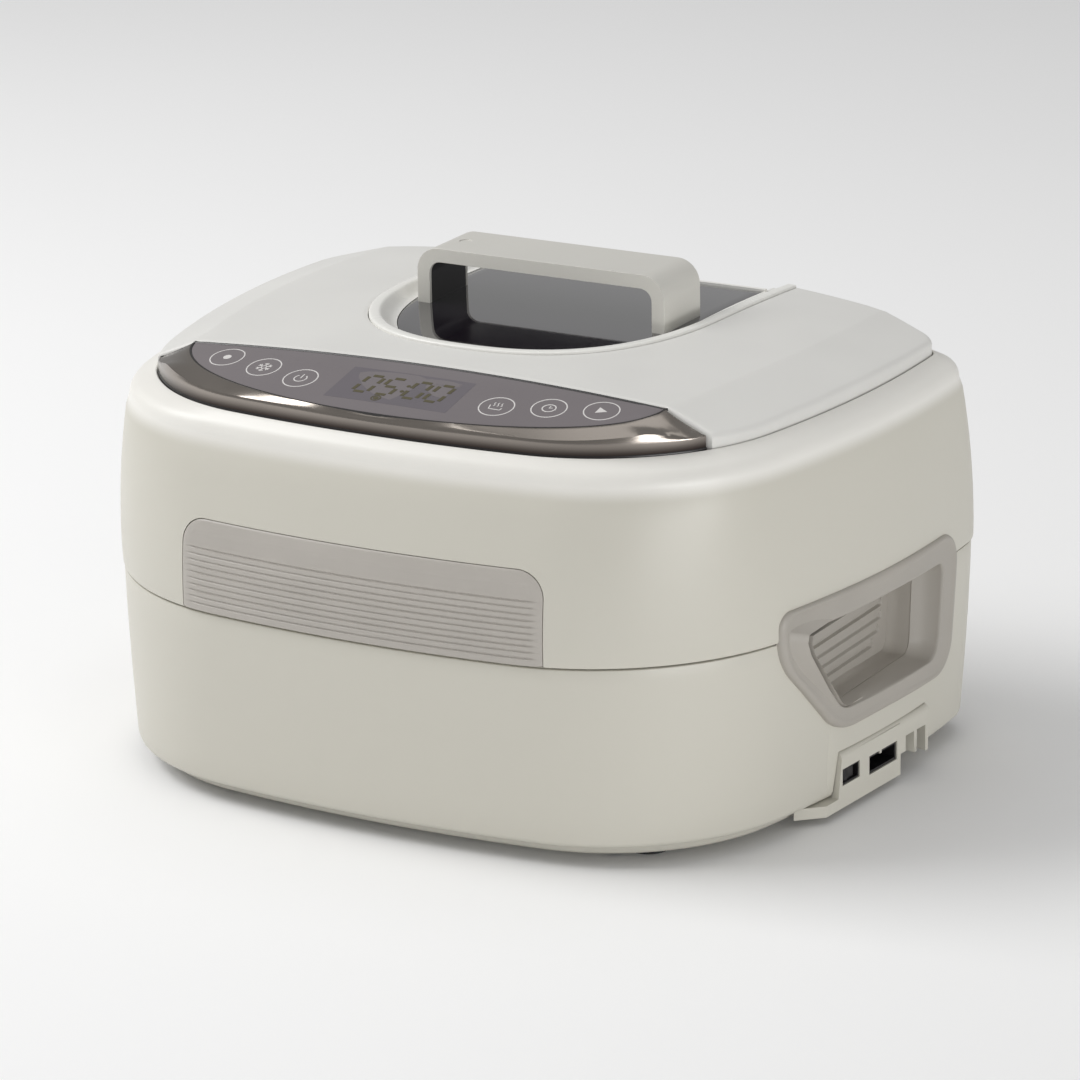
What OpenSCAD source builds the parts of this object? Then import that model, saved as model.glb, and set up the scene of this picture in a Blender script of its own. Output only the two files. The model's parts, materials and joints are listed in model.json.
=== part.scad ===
// Bench ultrasonic cleaner: a two-shell plastic casing round a stainless tank, with a hinged
// lid that carries a smoked window and an arched handle.
// Millimetres. X runs to the right, Y to the back, Z up; the feet stand on Z = 0.

/* [Casing] */
// Widest width of the casing, at the parting line
body_w = 325.6; // [300:0.1:360]
// Depth of the casing at the parting line
body_d = 269.6; // [255:0.1:300]
// Height of the parting line between the lower and upper casing
seam_z = 83.4; // [76:0.1:92]
// Height at which the upper casing's wall turns into the shoulder
ridge_z = 156.6; // [150:0.1:162]
// Height of the lower casing's bottom edge
sill_z = 8.3; // [7:0.1:10]
// Wall thickness of the moulded shells
wall = 3; // [2.5:0.1:3.4]

/* [Deck and lid] */
// Height of the crown of the lid above the floor
crown_z = 180.9; // [178:0.1:184]
// Widest width of the raised island that the lid and control panel form
island_w = 294.2; // [280:0.1:300]
// Height of the flat deck under the lid
deck_z = 159; // [157:0.1:160]

/* [Control panel] */
// Forward slope of the control panel in degrees
panel_tilt = 12.2; // [8:0.1:14]
// Half of the panel lens's width
lens_half_w = 107; // [100:0.5:110]
// Depth of the panel lens from its front to its back edge
lens_depth = 41.4; // [38:0.1:42]

/* [Tank] */
// Inside width of the tank
tank_w = 232; // [200:1:236]
// Inside depth of the tank from front to back
tank_d = 136; // [120:1:138]
// Inside height of the tank
tank_h = 80; // [60:1:84]
// Radius of the tank's upright corners
tank_r = 22; // [15:1:30]
// Thickness of the tank's sheet
tank_t = 1; // [0.8:0.1:1.2]

/* [Handle] */
// Width across the handle's legs
handle_w = 115; // [100:0.5:118]
// Height of the handle's top above the floor
handle_top = 199.7; // [196:0.1:206]
// Depth of the handle from front to back
handle_d = 31; // [24:0.5:34]
// Thickness of the handle's arch
handle_t = 5; // [4:0.1:6]

/* [Grips and plate] */
// Depth of the finger pocket in each side
grip_depth = 20.5; // [16:0.5:28]
// Half width of the ribbed front plate
plate_half_w = 81.5; // [70:0.5:84]
// Top of the ribbed front plate
plate_top = 121.5; // [110:0.5:124]

/* [Hidden] */
$fn = 48;

// ---- plan outlines --------------------------------------------------------------------------
// One family of outlines serves the casing, the shoulder and the lid: a shallow front arc,
// a shallow side arc and a shallow rear arc, joined by corner arcs tangent to both.
side_mid_y = 51;      // where the sides are widest
front_r = 595;
side_r = 493;
rear_r = 400;

// Centre of the arc that is tangent inside two circles; s picks the side.
function meet(c1, r1, c2, r2, s) =
    let (v = c2 - c1, d = norm(v), a = (r1*r1 - r2*r2 + d*d)/(2*d), h = sqrt(r1*r1 - a*a))
    c1 + a*v/d + s*h*[-v[1], v[0]]/d;
function heading(from, to) = atan2(to[1] - from[1], to[0] - from[0]);
function arc(c, r, a0, a1, n) =
    [for (i = [0:n - 1]) let (a = a0 + (a1 - a0)*i/n) c + r*[cos(a), sin(a)]];
function mirror_close(half) =
    concat(half, [for (i = [len(half) - 2:-1:1]) [-half[i][0], half[i][1]]]);
// a: half width; yf, yb: front and back; rf, rr: front and rear corner radius; o: inset.
function plan(a, yf, yb, rf, rr, o) =
    let (cf = [0, yf + front_r], cb = [0, yb - rear_r], cs = [a - side_r, side_mid_y],
        kf = meet(cf, front_r - rf, cs, side_r - rf, 1),
        kr = meet(cb, rear_r - rr, cs, side_r - rr, -1))
    mirror_close(concat(
        arc(cf, front_r - o, -90, heading(cf, kf), 4),
        arc(kf, rf - o, heading(cf, kf), heading(cs, kf), 9),
        arc(cs, side_r - o, heading(cs, kf), heading(cs, kr), 7),
        arc(kr, rr - o, heading(cs, kr), heading(cb, kr), 5),
        arc(cb, rear_r - o, heading(cb, kr), 90, 5),
        [[0, yb - o]]));

half_w = body_w/2;
half_d = body_d/2;
ridge_side = 5;       // how far the upper wall leans in by the ridge, at the sides
ridge_front = 12;     // and at the front
ridge_rear = 9;       // and at the rear
sill_side = 2.6;      // how far the lower wall leans in by the sill, at the sides
sill_end = 6.6;       // and at the front and rear
step = 0.8;           // the lower casing stands back this far under the upper one

// Outline of the outer wall at height z, moved inwards by o.
function upper_wall(z, o) = let (t = (z - seam_z)/(ridge_z - seam_z))
    plan(half_w - ridge_side*t*t, -half_d + ridge_front*t*t, half_d - ridge_rear*t*t,
        98 - 18*t, 26 - 5*t, o);
function lower_wall(z, o) = let (s = pow(max(0, seam_z - z)/(seam_z - sill_z), 1.5))
    plan(half_w - step - sill_side*s, -half_d + step + sill_end*s,
        half_d - step - sill_end*s, 96 - 9*s, 26 - 2*s, o);
function wall_at(z, o) = z < seam_z ? lower_wall(z, o) : upper_wall(z, o);

island_half = island_w/2;
island_front = -116;
island_back = 114.5;
function island(o) = plan(island_half, island_front, island_back, 83, 10, o);

// ---- crowned top surface --------------------------------------------------------------------
crown_x = 2.51e-4;
crown_y = 3.3e-4;
flank_slope = 0.345;
function deck(x, y) = crown_z - crown_x*x*x - crown_y*y*y;
// The crease between the lid's top and its sloping flanks.
function crease_x(y) = 119.5 - (y - 45)*(y - 45)/1120;
function lid_top(x, y) = let (c = crease_x(y), e = abs(x) - c)
    e <= 0 ? deck(x, y) : deck(c, y) - e*(flank_slope - 0.001*(y - 5));
// The panel lens: a plane sloping forwards with the same sideways crown.
panel_y = -85;
panel_z = 177;
function lens_top(x, y) = let (v = y - panel_y)
    panel_z + tan(panel_tilt)*v - crown_x*x*x - (v > 0 ? 0.004*v*v : 0);
// Edge of the lid where it meets the panel, and the gap left there.
panel_gap = 1.4;
function lid_front(x) = -70.4 - 2.6*pow(min(1, abs(x)/109), 2);

// ---- lofts ----------------------------------------------------------------------------------
function lift(poly, z) = [for (p = poly) [p[0], p[1], z]];
function drape(poly, dz) = [for (p = poly) [p[0], p[1], lid_top(p[0], p[1]) + dz]];
function drape_lens(poly, dz) = [for (p = poly) [p[0], p[1], lens_top(p[0], p[1]) + dz]];
function mean_pt(r) = [for (k = [0:2]) let (v = [for (p = r) p[k]]) (v * [for (p = r) 1])/len(r)];
function band(j, l, n) = [for (i = [0:n - 1]) let (k = (i + 1) % n)
    each [[j*n + i, l*n + i, l*n + k], [j*n + i, l*n + k, j*n + k]]];
// Solid through loops listed from the bottom up, each loop anticlockwise from above.
module loft(rings) {
    n = len(rings[0]);
    m = len(rings);
    lo = n*m;
    polyhedron(
        points = concat([for (r = rings) each r], [mean_pt(rings[0]), mean_pt(rings[m - 1])]),
        faces = concat([for (j = [0:m - 2]) each band(j, j + 1, n)],
            [for (i = [0:n - 1]) [lo, i, (i + 1) % n]],
            [for (i = [0:n - 1]) [lo + 1, (m - 1)*n + (i + 1) % n, (m - 1)*n + i]]),
        convexity = 8);
}
// Ring-shaped solid: the loops run up the outside, over the top and down the inside.
module loft_ring(rings) {
    n = len(rings[0]);
    m = len(rings);
    polyhedron(points = [for (r = rings) each r],
        faces = [for (j = [0:m - 1]) each band(j, (j + 1) % m, n)], convexity = 8);
}
// Distance from c to the outline along a direction, and the outline resampled that way.
function reach(poly, c, d) = max([for (i = [0:len(poly) - 1])
    let (p = poly[i] - c, e = poly[(i + 1) % len(poly)] - c - p, den = d[0]*e[1] - d[1]*e[0])
    if (abs(den) > 1e-9) let (s = (p[0]*d[1] - p[1]*d[0])/den, t = (p[0]*e[1] - p[1]*e[0])/den)
    if (s > -1e-6 && s < 1 + 1e-6 && t > 0) t]);
function like(poly, pattern, c) =
    [for (q = pattern) let (d = (q - c)/norm(q - c)) c + d*reach(poly, c, d)];
function toward(poly, c, gap) = [for (p = poly) let (d = p - c) c + d*(1 - gap/norm(d))];

// Polygon with a rounded corner of its own radius at each point; corners anticlockwise.
function rounded(pts, rs, n = 5) = [for (i = [0:len(pts) - 1])
    let (p = pts[i], a = pts[(i + len(pts) - 1) % len(pts)] - p, b = pts[(i + 1) % len(pts)] - p,
        ua = a/norm(a), ub = b/norm(b), half = acos(ua*ub)/2, r = rs[i],
        c = p + (ua + ub)/norm(ua + ub)*r/sin(half), s = p + ua*r/tan(half),
        h = heading(c, s), turn = 180 - 2*half)
    each [for (k = [0:n]) c + r*[cos(h + turn*k/n), sin(h + turn*k/n)]]];

// ---- small building blocks ------------------------------------------------------------------
module block(x0, x1, y0, y1, z0, z1) translate([x0, y0, z0]) cube([x1 - x0, y1 - y0, z1 - z0]);
module rrect(w, d, r) {
    square([w - 2*r, d], center = true);
    square([w, d - 2*r], center = true);
    for (x = [-1, 1]) for (y = [-1, 1]) translate([x*(w/2 - r), y*(d/2 - r)]) circle(r);
}
module tray_form(w, d, r, z0, z1) translate([0, tank_y, z0]) linear_extrude(z1 - z0) rrect(w, d, r);
// Prism across the object: a polygon in Y and Z run along X.
module side_prism(poly, x0, x1) translate([x0, 0, 0]) rotate([90, 0, 90])
    linear_extrude(x1 - x0) polygon(poly);
// Prism along Y: a polygon in X and Z.
module front_prism(poly, y0, y1) translate([0, y1, 0]) rotate([90, 0, 0])
    linear_extrude(y1 - y0) polygon(poly);
module both_sides() {
    children();
    mirror([1, 0, 0]) children();
}
module at_each(places) for (p = places) translate(p) children();
module screw(d, len, head_d, head_h) {
    translate([0, 0, -0.01]) cylinder(d = d, h = len + 0.01);
    translate([0, 0, -head_h]) difference() {
        cylinder(d = head_d, h = head_h);
        translate([0, 0, -0.01]) {
            translate([-head_d*0.32, -head_d*0.07, 0]) cube([head_d*0.64, head_d*0.14, head_h*0.5]);
            translate([-head_d*0.07, -head_d*0.32, 0]) cube([head_d*0.14, head_d*0.64, head_h*0.5]);
        }
    }
}

// ---- shared places --------------------------------------------------------------------------
tank_y = 20;                        // middle of the tank
tank_top = deck_z + 2;              // underside of the tank's rolled flange
tank_floor = tank_top - tank_h;     // underside of the tank
foot_h = 3;
plate_z = foot_h;                   // underside of the base plate
plate_t = 2.5;
feet_at = [[-104, -86, 0], [104, -86, 0], [-126, 83, 0], [126, 83, 0]];
base_screws_at = [[-96, -99, 0], [96, -99, 0], [-135, -34, 0], [135, -34, 0],
    [-83, 102, 0], [83, 102, 0]];
stack_x = 56;                       // each transducer stands this far from the middle
stacks_at = [[-stack_x, tank_y, 0], [stack_x, tank_y, 0]];
board_y = -66;                      // middle of the power board
board_z = 22;
board_w = 176;
board_d = 66;
standoffs_at = [[-80, board_y - 28, 0], [80, board_y - 28, 0], [-80, board_y + 28, 0],
    [80, board_y + 28, 0]];
fan_at = [94, 46, 0];
fan_size = 60;
fan_h = 15;
hinge_y = 117.2;
hinge_z = 160.6;
hinge_x = 46;
pin_d = 4;
rocker_at = [-14.7, 16];            // along and up the power bezel, at the rocker
inlet_at = [10.1, 14.65];
bezel_turn = 5;                     // the bezel's face follows the casing's side
bezel_at = [156.6, -21.5];
bezel_len = 45.2;
fin_len = 22.6;
fins_at = [12.4, 21.4];             // fins behind the inlet, from the end of its face
bezel_top = 26.5;
bezel_foot = 3.2;

// ---- casing ---------------------------------------------------------------------------------
grip_outer = rounded([[-63, 95.8], [-63, 75], [-26, 36], [66, 35.5], [71, 95.5]], [6.5, 26, 26, 15, 13]);
grip_inner = rounded([[-52, 84.5], [-48, 76], [-21.5, 45], [53.5, 44.5], [56.5, 84.5]], [2, 12, 12, 9, 5]);
grip_deep = rounded([[-49, 83.5], [-44, 76], [-18.5, 46.7], [48.5, 46.5], [51.5, 83.5]], [2, 10, 10, 6, 4]);
grip_shell = rounded([[-56.5, 87.5], [-53.5, 74.5], [-23.5, 41.2], [60, 40.5], [63, 87.5]],
    [4, 14, 14, 10, 6]);
grip_cut = rounded([[-57, 88], [-54, 74.2], [-23.8, 40.7], [60.5, 40], [63.5, 88]], [4, 14, 14, 10, 6]);

module bezel_frame() translate([bezel_at[0], bezel_at[1], 0]) rotate([0, 0, -bezel_turn]) children();
// Foot of the bezel in plan: it runs on forward under the casing's sill and ends in a slant.
function flange(x, gap) = let (slant = 10/9) [[x, -12 + slant*x - 1.5*gap], [x, bezel_len + gap],
    [-9 - gap, bezel_len + gap], [-9 - gap, -22 - (slant + 1.5)*gap]];
module bezel_slot(gap) bezel_frame() {
    side_prism([[-gap, bezel_top + gap], [-3.2 - gap, 8.5], [-3.2 - gap, -1],
        [bezel_len + fin_len + gap, -1], [bezel_len + fin_len + gap, bezel_top + gap]], -14, 20);
    translate([0, 0, -1]) linear_extrude(9.15) polygon(flange(4, gap));
}

// Bosses that take the base screws, each tied to the wall by a rib.
boss_z = plate_z + plate_t + 0.1;
boss_top = 26;
rib_z = sill_z + 3.4;
rib_len = 17;
module screw_bosses() for (p = base_screws_at) {
    translate([p[0], p[1], boss_z]) cylinder(d = 8, h = boss_top - boss_z);
    intersection() {
        translate([p[0], p[1], rib_z]) rotate([0, 0, rib_turn(p)])
            translate([3, -1.2, 0]) cube([rib_len, 2.4, boss_top - rib_z]);
        linear_extrude(boss_top) polygon(lower_wall(sill_z, 1.2));
    }
}
function rib_turn(p) = abs(p[0]) > 120 ? (p[0] > 0 ? 0 : 180)
    : p[1] > 0 ? 90 - p[0]*0.1 : p[0]*0.25 - 90;

module lower_casing() color("gainsboro") difference() {
    union() {
        lower_wall_shell();
        screw_bosses();
    }
    at_each(base_screws_at) translate([0, 0, boss_z - 1]) cylinder(d = 3.04, h = 13);
    both_sides() side_prism(grip_cut, 120, 175);
    bezel_slot(0.3);
}
module lower_wall_shell() difference() {
    loft([lift(lower_wall(sill_z, 2.4), sill_z), lift(lower_wall(sill_z + 0.9, 0.7), sill_z + 0.9),
        lift(lower_wall(sill_z + 2.6, 0), sill_z + 2.6), lift(lower_wall(30, 0), 30),
        lift(lower_wall(52, 0), 52), lift(lower_wall(70, 0), 70),
        lift(lower_wall(seam_z, 0), seam_z - 0.3)]);
    loft([lift(lower_wall(sill_z, wall + 1), sill_z - 1), lift(lower_wall(30, wall), 30),
        lift(lower_wall(60, wall), 60), lift(lower_wall(seam_z, wall), seam_z + 1)]);
}

plate_outline = rounded([[-plate_half_w, seam_z + 1], [plate_half_w, seam_z + 1],
    [plate_half_w, plate_top], [-plate_half_w, plate_top]], [1.5, 1.5, 11, 11]);
notch_x = 11.2;                     // half width of each hinge notch
bracket_screw_y = 106;
seat_z = 149;                       // top of the seats under the hinge brackets
hinge_notch = [[100.5, seat_z], [118.2, seat_z], [122, 158], [122, 175], [100.5, 175]];

module upper_casing() color("whitesmoke") difference() {
    union() {
        difference() {
            loft([lift(upper_wall(seam_z, 0.9), seam_z + 0.3),
                lift(upper_wall(seam_z, 0), seam_z + 1.6), lift(upper_wall(100, 0), 100),
                lift(upper_wall(118, 0), 118), lift(upper_wall(134, 0), 134),
                lift(upper_wall(146, 0), 146), lift(upper_wall(ridge_z, 0), ridge_z - 3.4),
                lift(upper_wall(ridge_z, 1), ridge_z - 0.7),
                lift(upper_wall(ridge_z, 3.2), ridge_z + 1.2),
                lift(island(-1), 162.3), lift(island(0), 162.5), lift(island(0.1), deck_z)]);
            loft([lift(upper_wall(seam_z, wall), seam_z - 1), lift(upper_wall(110, wall), 110),
                lift(upper_wall(140, wall), 140), lift(upper_wall(ridge_z, wall + 1), 152),
                lift(upper_wall(ridge_z, wall + 4), deck_z - wall)]);
        }
        // seats that carry the hinge brackets
        both_sides() block(hinge_x - 14, hinge_x + 14, 100, 120, seat_z - 3.5, seat_z);
    }
    translate([0, tank_y, deck_z - wall - 5]) linear_extrude(12) rrect(tank_w + 6, tank_d + 6, tank_r + 3);
    translate([0, -94, deck_z - wall - 5]) linear_extrude(12) rrect(130, 18, 6);
    both_sides() {
        side_prism(grip_cut, 120, 175);
        side_prism(hinge_notch, hinge_x - notch_x, hinge_x + notch_x);
        translate([hinge_x, bracket_screw_y, 140]) cylinder(d = 2.4, h = 12);
    }
    // relief behind the lid's rear edge
    block(-70, 70, 105, 119, 161.3, 170);
    front_recess(1.4, 0.3);
}

// Pocket in the front wall that takes the ribbed plate.
module front_recess(depth, gap) intersection() {
    difference() {
        loft([lift(upper_wall(seam_z, -2), seam_z - 1), lift(upper_wall(104, -2), 104),
            lift(upper_wall(126, -2), 126)]);
        loft([lift(upper_wall(seam_z, depth), seam_z - 2), lift(upper_wall(104, depth), 104),
            lift(upper_wall(127, depth), 127)]);
    }
    front_prism([for (p = plate_outline) [p[0]*(1 + gap/plate_half_w),
        seam_z + (p[1] - seam_z)*(1 + gap/20)]], -150, -90);
}

rib_count = 12;
rib_pitch = 2.5;
module front_plate() color("silver") difference() {
    intersection() {
        difference() {
            loft([lift(upper_wall(seam_z, -0.5), seam_z - 1), lift(upper_wall(104, -0.5), 104),
                lift(upper_wall(126, -0.5), 126)]);
            loft([lift(upper_wall(seam_z, 1.35), seam_z - 2), lift(upper_wall(104, 1.35), 104),
                lift(upper_wall(127, 1.35), 127)]);
        }
        front_prism(plate_outline, -150, -90);
    }
    for (i = [0:rib_count - 1]) translate([0, 0, seam_z + 3.4 + i*rib_pitch]) linear_extrude(0.9)
        difference() {
            square([2*plate_half_w - 7, 300], center = true);
            polygon(upper_wall(102, 0.1));
        }
}

module base_plate() color("gainsboro") difference() {
    union() {
        difference() {
            loft([lift(lower_wall(sill_z, 9.5), plate_z), lift(lower_wall(sill_z, 8.2), plate_z + 1),
                lift(lower_wall(sill_z, 8), sill_z + 3)]);
            loft([lift(lower_wall(sill_z, 10.5), plate_z + plate_t),
                lift(lower_wall(sill_z, 10.5), sill_z + 4)]);
        }
        at_each(standoffs_at) translate([0, 0, plate_z + plate_t - 0.1]) cylinder(d = 9, h = 3.1);
    }
    bezel_slot(0.3);
    translate(fan_at) for (i = [-4:4]) translate([i*6, 0, 0])
        block(-1.6, 1.6, -sqrt(676 - 36*i*i), sqrt(676 - 36*i*i), 0, 20);
    for (i = [-3:3]) translate([i*10, 70, 0]) block(-2, 2, -18, 18, 0, 20);
    at_each(base_screws_at) cylinder(d = 3.4, h = 20);
    at_each(standoffs_at) cylinder(d = 2.6, h = 20);
    at_each(feet_at) cylinder(d = 4.2, h = 20);
    translate(fan_at) at_each(fan_holes_at) cylinder(d = 3.44, h = 20);
}

module rubber_feet() color("dimgray") at_each(feet_at) {
    rotate_extrude() polygon([[0, 0], [8.2, 0], [9, foot_h], [0, foot_h]]);
    translate([0, 0, foot_h]) cylinder(d = 4, h = plate_t);
    translate([0, 0, foot_h + plate_t]) cylinder(d1 = 5.4, d2 = 3.6, h = 1.6);
}

module base_screws() color("silver") at_each(base_screws_at)
    translate([0, 0, plate_z]) screw(3, 14, 6, 1.2);

// ---- side grips -----------------------------------------------------------------------------
funnel_x = 152;                     // where the pocket's flared mouth ends and its deep part begins
function at_x(p, x) = [for (q = p) [x, q[0], q[1]]];
module grip() {
    difference() {
        intersection() {
            loft([lift(wall_at(30, -0.4), 30), lift(wall_at(38, -1.8), 38), lift(wall_at(60, -1.8), 60),
                lift(wall_at(seam_z, -1.8), seam_z), lift(wall_at(93, -1.8), 93),
                lift(wall_at(97, -0.4), 97)]);
            side_prism(grip_outer, 110, 175);
        }
        loft([lift(wall_at(28, -0.15), 28), lift(wall_at(60, -0.15), 60),
            lift(wall_at(seam_z - 0.01, -0.15 - step), seam_z), lift(wall_at(99, -0.15), 99)]);
        side_prism(grip_inner, 100, 180);
    }
    difference() {
        side_prism(grip_shell, half_w - 2 - grip_depth, half_w + 2);
        loft([at_x(grip_deep, half_w - grip_depth), at_x(grip_deep, funnel_x), at_x(grip_inner, 157),
            at_x(grip_inner, half_w + 1)]);
        for (i = [0:3]) translate([half_w - grip_depth - 0.8, 0, 0])
            block(0, 2, -30 + 3*i, 43 - 2*i, 66.3 - i*5, 67.5 - i*5);
        difference() {
            block(120, 175, -90, 90, 20, 120);
            loft([lift(wall_at(20, -0.9), 20), lift(wall_at(60, -0.9), 60),
                lift(wall_at(seam_z - 0.01, -0.9 - step), seam_z), lift(wall_at(110, -0.9), 110)]);
        }
    }
}
module grip_right() color("darkgray") grip();
module grip_left() color("darkgray") mirror([1, 0, 0]) grip();

// ---- power inlet corner ---------------------------------------------------------------------
switch_w = 13.2;
switch_h = 7;
inlet_w = 21.7;
inlet_h = 7.9;
module bezel_hole(c, w, h, x0, x1) block(x0, x1, c[0] - bezel_at[1] - w/2,
    c[0] - bezel_at[1] + w/2, c[1] - h/2, c[1] + h/2);
module power_bezel() color("gainsboro") bezel_frame() difference() {
    union() {
        block(-2.2, 0, 0, bezel_len, bezel_foot, bezel_top);
        block(-9, 0, 0, bezel_len + fin_len, 23, bezel_top);
        // slanted front end, and the foot below it
        side_prism([[2, bezel_top], [0, bezel_top], [-3.2, 8], [-3.2, bezel_foot], [2, bezel_foot]], -9, 0);
        translate([0, 0, bezel_foot]) linear_extrude(2.4) polygon(flange(0, 0));
        block(-9, 0, bezel_len - 2, bezel_len, bezel_foot, bezel_top);
        block(-2.2, 0, bezel_len - 1, bezel_len + 4, 12, bezel_top);
        block(-2.2, -0.4, bezel_len - 1, bezel_len + fin_len, 18.6, bezel_top);
        for (y = fins_at) block(-9, -0.4, bezel_len + y - 1, bezel_len + y + 1, 7, bezel_top);
        block(-11, -8.9, 0, bezel_len + fin_len, 4.6, bezel_top);
    }
    bezel_hole(rocker_at, switch_w, switch_h, -12, 1);
    bezel_hole(inlet_at, inlet_w, inlet_h, -12, 1);
    for (y = fins_at) block(-12, -8, bezel_len + y - 5.5, bezel_len + y - 2.5, 8, 20);
}
module mains_inlet() color("black") bezel_frame() difference() {
    bezel_hole(inlet_at, inlet_w - 0.2, inlet_h - 0.2, -24, -0.6);
    bezel_hole(inlet_at, inlet_w - 2.4, inlet_h - 2.2, -20, 1);
    for (s = [-1, 1]) translate([-25, inlet_at[0] - bezel_at[1] + s*5, inlet_at[1]])
        rotate([0, 90, 0]) cylinder(d = 2, h = 6);
}
module inlet_pins() color("silver") bezel_frame() for (s = [-1, 1])
    translate([-30, inlet_at[0] - bezel_at[1] + s*5, inlet_at[1]]) rotate([0, 90, 0]) {
        cylinder(d = 2, h = 24);
        translate([0, 0, 24]) cylinder(d1 = 2, d2 = 1.2, h = 1);
    }
rocker_pivot = -5;                  // rocker axis behind the bezel's face
module switch_body() color("black") bezel_frame() difference() {
    bezel_hole(rocker_at, switch_w - 0.2, switch_h - 0.2, -22, -0.5);
    bezel_hole(rocker_at, switch_w - 1.8, switch_h - 1.6, -11, 1);
    translate([rocker_pivot, rocker_at[0] - bezel_at[1], rocker_at[1] - 4]) cylinder(d = 1.64, h = 8);
}
module switch_rocker() color("dimgray") bezel_frame()
    translate([rocker_pivot, rocker_at[0] - bezel_at[1], rocker_at[1]]) {
        difference() {
            intersection() {
                block(-2.4, 6, -4.85, 4.85, -2.4, 2.4);
                translate([0, 0, -5]) cylinder(r = 5, h = 10);
                rotate([0, 0, 7]) block(-6, 4.2, -8, 8, -4, 4);
            }
            rotate([0, 0, 7]) translate([19.6, 0, -5]) cylinder(r = 16, h = 10, $fn = 160);
        }
        translate([0, 0, -3.3]) cylinder(d = 1.5, h = 6.6);
    }

// ---- tank and what drives it ----------------------------------------------------------------
module tank() color("lightsteelblue") difference() {
    union() {
        tray_form(tank_w + 2*tank_t, tank_d + 2*tank_t, tank_r + tank_t, tank_floor + 5, tank_top);
        tray_form(tank_w - 4, tank_d - 4, tank_r - 2, tank_floor, tank_floor + 5.01);
        tray_form(tank_w + 18, tank_d + 16, tank_r + 8, tank_top - 0.01, tank_top + tank_t);
    }
    tray_form(tank_w, tank_d, tank_r, tank_floor + 5 + tank_t, tank_top + 2);
    tray_form(tank_w - 6, tank_d - 6, tank_r - 3, tank_floor + tank_t, tank_top + 2);
}
module tank_gasket() color("ivory") difference() {
    tray_form(tank_w + 17, tank_d + 15, tank_r + 7.5, deck_z, tank_top - 0.01);
    tray_form(tank_w + 7, tank_d + 7, tank_r + 3.5, deck_z - 1, tank_top + 1);
}
horn_h = 16;
ring_h = 5;
gap_h = 0.4;
mass_h = 16;
horn_bottom = tank_floor - horn_h;
ring1_bottom = horn_bottom - gap_h - ring_h;
ring2_bottom = ring1_bottom - gap_h - ring_h;
mass_bottom = ring2_bottom - gap_h - mass_h;
module transducer_horns() color("lightgray") at_each(stacks_at) difference() {
    translate([0, 0, horn_bottom]) cylinder(d1 = 38, d2 = 54, h = horn_h);
    translate([0, 0, horn_bottom - 1]) cylinder(d = 8, h = 12);
}
module piezo_rings() color("khaki") at_each(stacks_at) for (z = [ring1_bottom, ring2_bottom])
    translate([0, 0, z]) difference() {
        cylinder(d = 38, h = ring_h);
        translate([0, 0, -1]) cylinder(d = 15, h = ring_h + 2);
    }
module electrode_plates() color("peru") at_each(stacks_at)
    for (z = [ring1_bottom - gap_h, ring2_bottom - gap_h, ring1_bottom + ring_h])
        translate([0, 0, z]) difference() {
            union() {
                cylinder(d = 38, h = gap_h);
                translate([0, -23, 0]) cube([8, 10, gap_h]);
            }
            translate([0, 0, -1]) cylinder(d = 15, h = 3);
        }
module back_masses() color("slategray") at_each(stacks_at) difference() {
    translate([0, 0, mass_bottom]) cylinder(d = 38, h = mass_h);
    translate([0, 0, mass_bottom - 1]) cylinder(d = 9, h = mass_h + 2);
}
module clamp_bolts() color("dimgray") at_each(stacks_at) {
    translate([0, 0, mass_bottom - 0.01]) cylinder(d = 8, h = horn_bottom + 10 - mass_bottom);
    translate([0, 0, mass_bottom - 6]) cylinder(d = 14.4, h = 6, $fn = 6);
}
module heater_pad() color("orangered") difference() {
    tray_form(tank_w - 30, tank_d - 30, 12, tank_floor - 1.6, tank_floor);
    at_each(stacks_at) translate([0, 0, tank_floor - 5]) cylinder(d = 57, h = 10);
}
module thermostat() color("gray") translate([0, tank_y + 44, tank_floor - 1.6]) {
    translate([0, 0, -4]) cylinder(d = 16, h = 4);
    translate([0, 0, -9]) cylinder(d = 12, h = 5);
    for (s = [-1, 1]) translate([s*4 - 0.4, -3, -14]) cube([0.8, 6, 5]);
}

// ---- electronics ----------------------------------------------------------------------------
board_t = 1.6;
board_top = board_z + board_t;
standoff_bottom = plate_z + plate_t + 3;
module power_board() color("darkgreen") difference() {
    block(-board_w/2, board_w/2, board_y - board_d/2, board_y + board_d/2, board_z, board_top);
    at_each(standoffs_at) translate([0, 0, board_z - 1]) cylinder(d = 3.2, h = 4);
}
module board_standoffs() color("ivory") at_each(standoffs_at) difference() {
    translate([0, 0, standoff_bottom]) cylinder(d = 7, h = board_z - standoff_bottom);
    translate([0, 0, standoff_bottom - 1]) cylinder(d = 2.6, h = board_z);
}
module board_screws() color("silver") at_each(standoffs_at) translate([0, 0, board_top])
    mirror([0, 0, 1]) screw(2.5, 9, 5, 1.4);
module transformer() color("darkkhaki") translate([-58, board_y, board_top]) {
    block(-19, 19, -14, 14, 0, 30);
    block(-14, 14, -18, -14.01, 2, 26);
    block(-14, 14, 14.01, 18, 2, 26);
}
module heat_sink() color("silver") translate([0, board_y, board_top]) {
    block(-24, 24, -2, 2, 0, 34);
    for (i = [-4:4]) {
        block(i*5.6 - 0.8, i*5.6 + 0.8, 2, 15, 4, 34);
        block(i*5.6 - 0.8, i*5.6 + 0.8, -15, -2, 4, 34);
    }
}
module capacitors() color("steelblue") {
    for (x = [36, 54]) translate([x, board_y - 18, board_top]) {
        cylinder(d = 16, h = 28);
        translate([0, 0, 28]) cylinder(d1 = 16, d2 = 14.5, h = 1);
    }
    for (x = [44, 56]) translate([x, board_y + 12, board_top]) block(-5, 5, -8, 8, 0, 16);
}
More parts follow.
